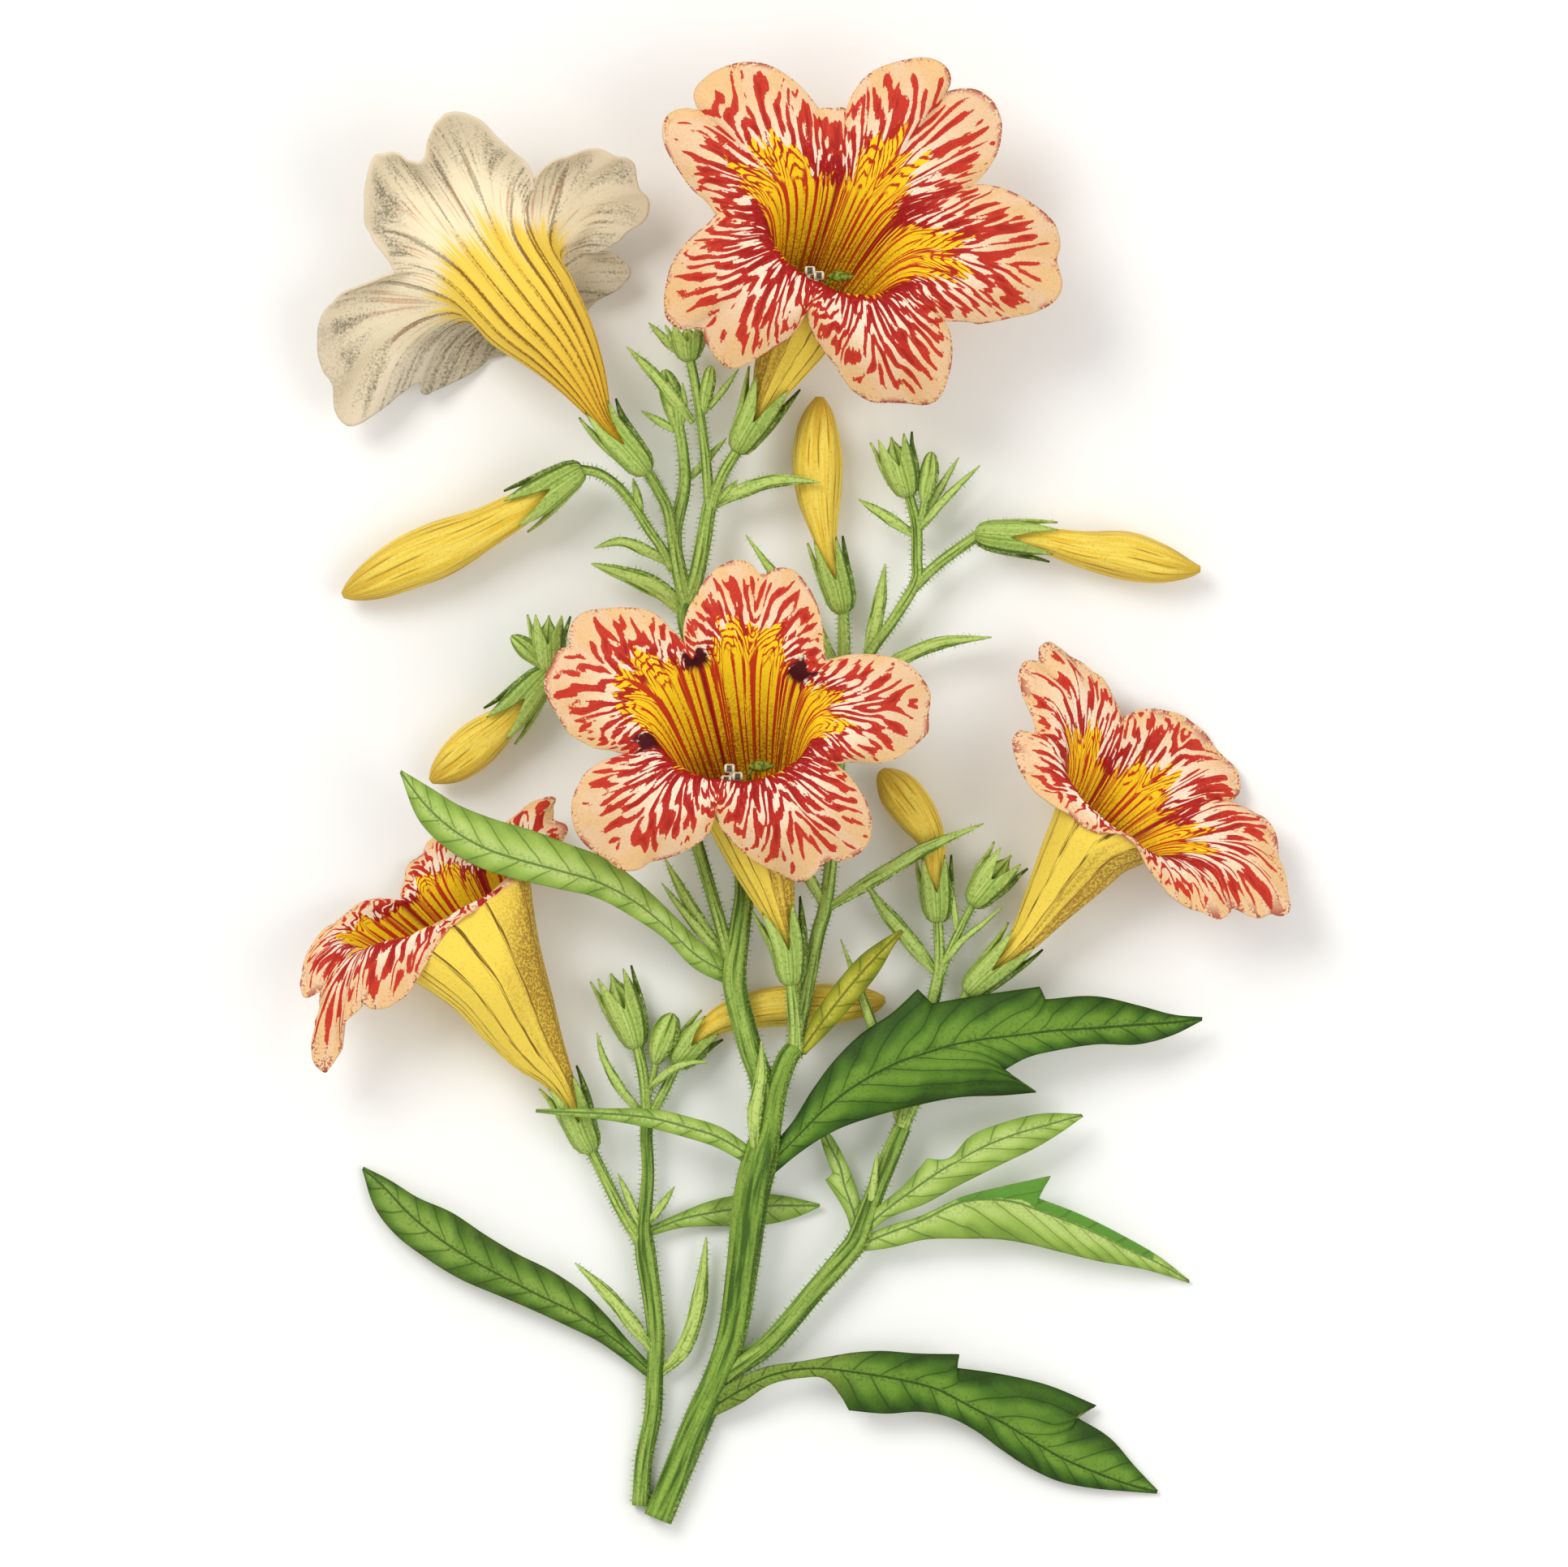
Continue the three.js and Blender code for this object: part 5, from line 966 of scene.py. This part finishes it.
def petal_paint(name, pace, cover, edge):
    """Peach lobes with crimson strokes, a yellow field with fine red arches and painted shade deep in the
    throat, and a yellow tube with painted shade on one side.

    pace is the number of strokes against that of the middle bloom, cover how red they make it, and
    edge where a lobe's red stippled edge starts.
    """
    s = Shader(name, 0.7)
    lobe, reach, outer = s.parts("mark")
    cos, sin, lean = s.parts("tone")
    yellow, spot, seed = s.parts("paint")
    limb = reach.math("MAXIMUM", 0.0)
    grain = s.cloud(2600)
    speck = grain - 0.5
    # Strokes leave a lobe's midline as they run outwards, like the barbs of a feather.
    turn = sin.math("ARCTAN2", cos)
    bent = turn - lean * 0.09 * limb
    turned = bent.math("COSINE"), bent.sine(), reach, seed
    swing = streaks(s, *turned, 9.0, 1.8, distortion=0.3)
    length = streaks(s, *turned, 30.0 * pace, 0.5, detail=0.0)
    broken = streaks(s, *turned, 26.0 * pace, 4.5 * pace, distortion=0.4)
    fine = streaks(s, *turned, 60.0, 8.0)
    barbs = lobe * (50.0 * pace) - limb * (24.0 * pace)
    stroke = (barbs + swing * 20.0).sine() + length * 3.0 + (broken * 4.5 + fine * 1.6)
    side = lobe.step(0.72, 1.0) * (reach.step(0.9, 0.6) * 1.2)
    margin = (reach + length * 0.5).step(0.7, 1.04) * -3.2
    drive = stroke + reach.step(0.3, 0.02) + (side + (margin + cover))
    drive = drive + (speck + reach.step(0.12, 0.0) * 2.0)
    skin = s.mix(swing.step(-0.08, 0.08), "#ebc088", "#ecc69c")
    skin = s.mix(reach.step(0.2, 0.8), "#f4e2c8", skin)
    skin = skin.under(grain.step(0.45, 0.7) * 0.2, "#cc8e60")
    red = s.mix(reach.step(0.1, 0.75), "#a60c0d", "#c63320")
    red = red.under(grain.step(0.42, 0.75) * 0.25, "#d8604a")
    red = red.under(drive.step(1.2, 2.2) * 0.5, "#860a0c")
    reds = drive.step(0.0, 0.3)
    colour = skin.under(reds, red)
    # The yellow field reaches out in pointed fingers, with nested arches of red lines.
    finger = (bent * 15.0).math("COSINE")
    height = yellow * (0.44 - lobe * lobe * 0.4) + finger * 0.06 + (broken * 0.5 + swing * 0.4)
    field = (height - limb).step(-0.02, 0.02) * yellow.step(0.02, 0.2)
    contour = reach - finger * 0.15 + swing * 0.25
    arches = ((contour * 74.0).sine() + fine * 2.0).step(0.3, 0.8)
    dashes = ((turn * 50.0 + swing * 8.0).sine() + broken * 3.0 + speck * 0.5).step(0.4, 0.85)
    wedges = (finger + broken * 1.6).step(-0.84, -1.0) * (reach.step(-0.4, -0.1) * pace)
    lines = dashes.under((reach + swing * 0.5).step(0.02, 0.12), arches).math("MAXIMUM", wedges)
    gold = s.mix(reach.step(-0.3, 0.0), "#ecb414", "#f8cc16")
    # Painted shade: olive stipple darkens the gold deeper in the throat.
    gold = gold.under(grain.step(0.44, 0.6) * reach.step(0.05, -0.25), "#94720e")
    brown = s.mix(reach.step(-0.3, 0.0), "#a8420c", "#c0330f")
    throat = gold.under(lines, brown)
    throat = throat.under(stroke.step(0.95, 1.2) * reach.step(0.08, 0.2), "#ab220f")
    colour = colour.under(field, throat)
    depth = lobe * lobe * -0.16 + -0.01 + broken * 0.5
    colour = colour.under((depth - reach).step(-0.03, 0.02), throat)
    # Painted shade: dark brown deep in the tube.
    colour = colour.under(reach.step(-0.25, -0.5) * 0.8, "#5a3e08")
    near = (lobe + (swing * 0.2 + speck * 0.1)).step(0.76, 0.84) * spot.step(0.5, 0.7)
    ends = (reach + broken * 0.3).step(0.5, 0.42) * reach.step(0.0, 0.1)
    colour = colour.under(near * ends, "#45060a")
    rim = reach.step(edge, 0.99) * (swing + broken + speck).step(0.0, 0.12)
    colour = colour.under(rim * 0.85, "#a82c1e")
    # Outside: a yellow tube with brown lines and painted brown shade on one side, and paler backs to the
    # lobes.
    ribs = (turn * float(RIBS)).sine() + fine * 1.2
    back = s.mix(reds * 0.5, "#dcb890", "#c04a38")
    tube = s.mix(ribs.step(0.9, 1.04), "#f4d552", "#74561a")
    tube = tube.under(grain.step(0.5, 0.75) * 0.25, "#c2942e")
    # Painted shade: outside, the first paint mark darkens one side of the tube with brown stipple.
    tube = tube.under(yellow * (grain.step(0.38, 0.58) * 0.6 + 0.3), "#a2752a")
    colour = colour.under(outer, tube.under(reach.step(-0.03, 0.16), back))
    return s.finish(colour, ribs * 0.25 + drive * 0.08 + grain, 0.12)


def white_paint():
    """Cream lobes with grey and pink lines and painted grey shade, on a yellow tube with brown ribs, alike
    on both faces.
    """
    s = Shader("white_petal", 0.7)
    _, reach, _ = s.parts("mark")
    cos, sin, lean = s.parts("tone")
    shaded, spot, seed = s.parts("paint")
    grain = s.cloud(2600)
    speck = grain - 0.5
    bend = lean * 0.2 * reach.math("MAXIMUM", 0.0)
    turned = cos + sin * bend, sin - cos * bend, reach, seed
    broad = streaks(s, *turned, 5.0, 0.9, 2.0, 0.4)
    fine = streaks(s, *turned, 24.0, 1.4, 2.0, 0.2)
    ribs = (turned[1].math("ARCTAN2", turned[0]) * float(RIBS)).sine() + fine * 1.8
    colour = s.mix(reach.step(0.15, 0.9), "#f8e8c2", "#e4d2b2")
    # Pink streaks near the mouth, and grey stippled strokes of painted shade in the outer half and on two
    # lobes.
    pinks = (fine + broad * 0.7).step(0.04, 0.14) * (reach.step(0.75, 0.4) * reach.step(0.05, 0.25))
    colour = colour.under(pinks * 0.6, "#d99f74")
    shade = fine * 4.0 + broad * 2.2 + speck * 3.0
    ring = reach.step(0.3, 0.62) * (reach + broad * 0.4).step(0.98, 0.82)
    # Painted shade: the ring round the outer half, and the grey lobes and cleft picked by the paint marks.
    grey = (ring * 0.75).math("MAXIMUM", shaded.math("MAXIMUM", spot * 0.9))
    colour = colour.under(shaded.math("MAXIMUM", spot) * 0.65, "#aea698")
    colour = colour.under(grey * shade.step(0.5, 1.0), "#6d6754")
    colour = colour.under(grey * shade.step(-0.4, 0.6) * 0.6, "#8f8870")
    veins = (ribs + speck * 0.5).step(0.86, 1.05) * reach.step(0.9, 0.1)
    colour = colour.under(veins * 0.65, "#6a5a3a")
    tube = s.mix(reach.step(-1.0, -0.05), "#e0ab22", "#f3cf4e")
    tube = tube.under((ribs + speck * 0.6).step(0.72, 1.05), "#74511a")
    tube = tube.under((ribs + speck * 1.6).step(0.0, 1.0) * 0.3, "#b5801e")
    colour = colour.under((reach + (fine * 0.6 + broad * 0.3)).step(0.2, -0.02), tube)
    return s.finish(colour, ribs * 0.3 + broad * 0.4 + grain, 0.12)


def bud_paint():
    """Furled yellow petals with fine brown lines and a darker tip."""
    s = Shader("yellow_bud", 0.62)
    cos, sin, share = s.parts("mark")
    grain = s.cloud(2600)
    fine = s.noise(s.vector(cos * 6.0, sin * 6.0, share * 3.0), 1.0, 3.0, 0.4)
    ribs = ((sin.math("ARCTAN2", cos) + share * 0.36) * 15.0).sine() + (fine - 0.5) * 1.8
    colour = s.mix(fine.step(0.35, 0.65), "#efd55c", "#e6bd34")
    colour = colour.under(ribs.step(0.82, 1.08) * 0.7, "#86681c")
    colour = colour.under((share + fine * 0.3).step(0.9, 1.15) * 0.6, "#b8902c")
    colour = colour.under(grain.step(0.52, 0.75) * 0.3, "#a8842c")
    return s.finish(colour, ribs * 0.3 + grain, 0.1)


def stem_paint():
    """Yellow-green stems with darker stippled streaks and painted stippled shade down one side, and fresher
    calyces and small leaves.
    """
    s = Shader("green_stem", 0.64)
    cos, sin, _ = s.parts("mark")
    young, length, _ = s.parts("tone")
    grain = s.cloud(2200)
    streak = s.noise(s.vector(cos * 2.6, sin * 2.6, length * 0.09), 1.0, 3.0, 0.3)
    old = s.mix(streak.step(0.36, 0.6), "#4e7222", "#8caa42")
    fresh = s.mix(streak.step(0.34, 0.6), "#8aa83f", "#c3d676")
    colour = old.under(young, fresh)
    colour = colour.under(streak.step(0.43, 0.34) * 0.65, "#3c5016")
    colour = colour.under(grain.step(0.5, 0.72) * 0.4, "#50631c")
    # Painted shade: dark stipple down one side of each rod and calyx, and along one edge of each narrow
    # leaf.
    shaded_flank = (cos + streak * 0.5).step(0.7, 1.15) * grain.step(0.36, 0.56)
    colour = colour.under(shaded_flank * 0.75, "#3a5216")
    return s.finish(colour, grain + streak * 1.5, 0.12)


def leaf_paint(name, dark, middle, light, under, line):
    """Leaf skin with a painted highlight towards a thin dark midrib, painted stippled shade close beside
    the midrib and along the edges, and curved side veins.
    """
    s = Shader(name, 0.58)
    across, _, face = s.parts("mark")
    stalk, length, away = s.parts("tone")
    turned, _, _ = s.parts("paint")
    grain = s.cloud(2200)
    cloud = s.cloud(120, 3.0, 0.6)
    speck = grain - 0.5
    beside = across.math("ABSOLUTE")
    bend = length - away * 1.25 + across.math("SIGN") * 0.8
    veins = (bend * 1.35 + cloud * 3.0).sine()
    vein = (veins + speck * 0.02).step(0.955, 0.992) * away.step(0.1, 0.6)
    puff = veins * -0.07
    # Painted highlight: lighter towards the midrib, mixed with cloudy tone and puffs between the veins.
    highlight_and_tone = beside.step(0.95, 0.1) * 0.5 + cloud * 0.8 + puff + speck * 0.3
    colour = s.mix(highlight_and_tone.step(0.25, 0.72), dark, middle)
    colour = colour.under(highlight_and_tone.step(0.6, 0.95) * 0.85, light)
    colour = colour.under(stalk * 0.75, under)
    colour = colour.under(face * 0.7, under)
    colour = colour.under((turned + speck * 0.6).step(0.3, 0.6), "#5a9030")
    # Painted shade: dark stipple close beside the midrib.
    shadow = (away + cloud * 2.0).step(2.6, 0.8) * grain.step(0.4, 0.62)
    colour = colour.under(shadow * 0.5, line)
    colour = colour.under(vein * 0.6, line)
    colour = colour.under(away.step(0.3, 0.12) * 0.85, line)
    # Painted shade: dark stipple along the edges.
    colour = colour.under((beside + speck * 0.5).step(0.8, 1.0) * 0.45, dark)
    colour = colour.under(grain.step(0.5, 0.72) * 0.3, dark)
    return s.finish(colour, puff * -8.0 - vein * 1.6 + grain * 0.6, 0.16)


def plain_paint(name, low, high, roughness, scale):
    s = Shader(name, roughness)
    grain = s.cloud(scale, 2.0)
    return s.finish(s.mix(grain.step(0.38, 0.6), low, high), grain, 0.05)


def anther_paint():
    """Cream anther lobes, darker where the pollen opens them."""
    s = Shader("cream_anther", 0.7)
    _, sin, share = s.parts("mark")
    _, _, anther = s.parts("tone")
    grain = s.cloud(4000, 2.0)
    dark = share.step(0.18, 0.34) * share.step(0.82, 0.66) * sin.step(0.45, 0.8)
    colour = s.mix(dark * anther, "#f3ead0", "#4c4436")
    colour = colour.under(grain.step(0.5, 0.7) * 0.3, "#c9b98c")
    return s.finish(colour, grain, 0.05)


painted = petal_paint("painted_petal", 1.0, 0.32, 0.9)
painted_side = petal_paint("painted_petal_side", 0.6, 0.12, 0.72)
pale, yellow_bud, stem_green, cream = white_paint(), bud_paint(), stem_paint(), anther_paint()
stigma_green = plain_paint("stigma_green", "#4e5a10", "#84902c", 0.35, 1800)
pale_hair = plain_paint("pale_hair", "#7f9c4c", "#a3bb6e", 0.6, 900)
LEAF_PAINTS = {colour: (leaf_paint(name, *greens), slot) for colour, name, slot, *greens in (
    ("leafDark", "dark_leaf", "leaf_dark", "#28440c", "#487019", "#709630", "#849a3c", "#28440c"),
    ("leafMiddle", "middle_leaf", "leaf_dark", "#3c5416", "#60842a", "#88a444", "#8ca648", "#34500f"),
    ("leafLight", "light_leaf", "leaf_light", "#7a983c", "#a0bc54", "#bcd078", "#b4cc70", "#54722a"),
    ("leafYoung", "young_leaf", "leaf_young", "#747c18", "#a09f26", "#c2bd44", "#a4a23c", "#626612"),
)}

# Pieces

# The stems, stalks, calyces, green buds and narrow leaves have grown together.
STEM_YOUNG = {"main": 0.0, "trunk": 0.3, "left": 0.2, "right": 0.25}
green = Skin()
for name, numbers in STEMS.items():
    sides = 24 if name == "main" else 18
    rod_hairs(rod(green, stops(numbers), sides, 6.0, STEM_YOUNG.get(name, 0.7)), 24)
for numbers in STALKS.values():
    rod_hairs(rod(green, stops(numbers), 16, 5.0, 0.75), 20)
for bloom in BLOOMS.values():
    calyx(green, stops(bloom["path"]))
for sepal, numbers in BUDS.values():
    calyx(green, stops(numbers), sepal)
for numbers in OPEN_GREEN_BUDS:
    route = stops(numbers)
    rod(green, route, 20, 4.0, 0.8, swell=young_swell)
    calyx(green, route, paces(route)[0][-1], cleft=0.5, spread=3, young=0.85, flare=7.0)
for numbers in CLOSED_GREEN_BUDS:
    rod(green, stops(numbers), 20, 4.0, 0.8, swell=pod_swell)
for half, numbers in NARROW_LEAVES:
    narrow_leaf(green, half, stops(numbers, 3))
green.piece("stems_and_calyces", stem_green, "stem_green", ["leafy_stems"])

for number, (name, data) in enumerate(LEAVES.items()):
    broad_leaf(name, data, number * LEAF_PHASE)

corolla("white", pale, "petal_white", [0, 0.15, 1, 0.2, 0], [0, 0, 0.6, 1, 0], 5.0, 1.7)
corolla("top", painted, "petal_painted", [0.85, 1.0, 0.75, 0.0, 0.0], [0] * 5, 5.0, 3.1, (-0.6, 0.6, 0.5))
corolla("centre", painted, "petal_painted", [1.0, 0.6, 0.0, 0.0, 0.85], [1, 1, 0, 0, 1], 5.0, 9.4,
        (0.9, 0.2, 0.3))
corolla("left", painted_side, "petal_painted", [0.6, 0.6, 0.3, 0.35, 0.5], [0] * 5, 4.0, 15.2,
        (0.95, 0.3, 0))
corolla("right", painted_side, "petal_painted", [0.7, 0.5, 0.0, 0.0, 0.6], [0] * 5, 4.0, 22.9,
        (0.6, -0.8, 0))

for name, (_, numbers) in BUDS.items():
    skin = Skin()
    rod(skin, stops(numbers), 60, 3.5, start=20.0, swell=bud_swell)
    skin.piece(f"bud_{name}_petals", yellow_bud, "bud_yellow", [f"bud_{name}"])


def knob(skin, tip, shape, spacing):
    """An anther or a stigma across a rod's tip: the x and z from the tip, and the radius, of each stop."""
    x, y, z = tip
    route = np.array([[x + right, y, z + up, radius] for right, up, radius in shape])
    rod(skin, route, 20, spacing, kind=1.0)


ANTHER = [(-6.4, 0, 2.4), (-5.6, 0, 4.8), (-3, 0.4, 5.6), (0, 0.5, 5.2), (3, 0.4, 5.6), (5.6, 0, 4.8),
          (6.4, 0, 2.4)]
STIGMA = [(-16, -1, 1.2), (-11, 0, 4.6), (-3, 1, 7.4), (6, 0.5, 5.6), (16, 0, 1.2)]
for name, heart in HEARTS.items():
    for part, slot, material, routes, shape, spacing in (
            ("stamens", "anther", cream, heart["filaments"], ANTHER, 0.7),
            ("stigma", "stigma", stigma_green, [heart["style"]], STIGMA, 1.2)):
        skin = Skin()
        for route in (stops(numbers, 3) for numbers in routes):
            rod(skin, np.insert(route, 3, FINE_ROD, axis=1), 10, 5.0)
            knob(skin, route[-1], shape, spacing)
        skin.piece(f"{part}_{name}_fine", material, slot, [f"{part}_{name}"])

# Short pale hairs on stems, calyces and narrow leaves are thin three-sided spikes.
roots, leans = (np.concatenate(parts) for parts in zip(*hairs))
length = rng.uniform(*HAIR_LENGTHS, (len(roots), 1)) * MM
side = unit(np.cross(leans, rng.normal(0, 1, leans.shape)))
other = np.cross(leans, side)
tips = roots + leans * length
tips[:, 2] = np.where(tips[:, 2] < HAIR_ROOT, LEAST_HAIR_TIP, tips[:, 2])
corners = [roots + (side * math.cos(a) + other * math.sin(a)) * HAIR_WIDTH - leans * HAIR_ROOT
           for a in HAIR_CORNERS]
fur = Skin()
first = fur.add(np.stack(corners + [tips], 1), (0, 0, 0), (0, 0, 0))
base = first + np.arange(len(roots))[:, None] * 4
fur.faces.append(np.concatenate([base + np.array(t) for t in ((0, 1, 3), (1, 2, 3), (2, 0, 3))]))
fur.piece("hairs", pale_hair, "stem_green", [])

# A pale surface, soft studio light and a camera that looks straight down

# The plate's size in plan steps, the camera's height, and the height of the plane that fills its view.
PLATE = (1932, 1931)
DISTANCE, VIEW_HEIGHT, SENSOR = 4.0, 0.012, 36
SURFACE_HALF, STUDIO_LIGHT = 3.0, 0.66
corners = [(x * SURFACE_HALF, y * SURFACE_HALF, 0) for x, y in ((-1, -1), (1, -1), (1, 1), (-1, 1))]
surface = bpy.data.objects.new("surface", bpy.data.meshes.new("surface"))
surface.data.from_pydata(corners, [], [(0, 1, 2, 3)])
bpy.context.scene.collection.objects.link(surface)
cloth = Shader("pale_surface", 0.9)
surface.data.materials.append(cloth.finish(cloth.mix(cloth.cloud(6.0, 2.0), "#f6f5f2", "#fbfaf8")))


def lamp(name, place, size, power):
    light = bpy.data.lights.new(name, "AREA")
    light.size, light.energy = size, power
    obj = bpy.data.objects.new(name, light)
    obj.location = place
    direction = -np.array(place) / np.linalg.norm(place)
    obj.rotation_euler = (math.acos(-direction[2]), 0, math.atan2(direction[1], direction[0]) - math.pi / 2)
    bpy.context.scene.collection.objects.link(obj)


lamp("key", (-0.9, 0.9, 1.5), 0.9, 17)
lamp("fill", (1.2, -0.3, 1.4), 1.2, 9)
world = bpy.data.worlds.new("studio")
world.use_nodes = True
background = world.node_tree.nodes["Background"]
background.inputs["Color"].default_value = (1, 1, 1, 1)
background.inputs["Strength"].default_value = STUDIO_LIGHT
bpy.context.scene.world = world
bpy.context.scene.view_settings.view_transform = "Standard"

camera_data = bpy.data.cameras.new("camera")
camera_data.sensor_width = SENSOR
camera_data.lens = SENSOR * (DISTANCE - VIEW_HEIGHT) / (PLATE[0] * STEP)
camera_data.clip_end = 20
camera = bpy.data.objects.new("camera", camera_data)
camera.location = ((PLATE[0] / 2 - PLAN_CENTRE[0]) * STEP, (PLAN_CENTRE[1] - PLATE[1] / 2) * STEP, DISTANCE)
bpy.context.scene.collection.objects.link(camera)
bpy.context.scene.camera = camera
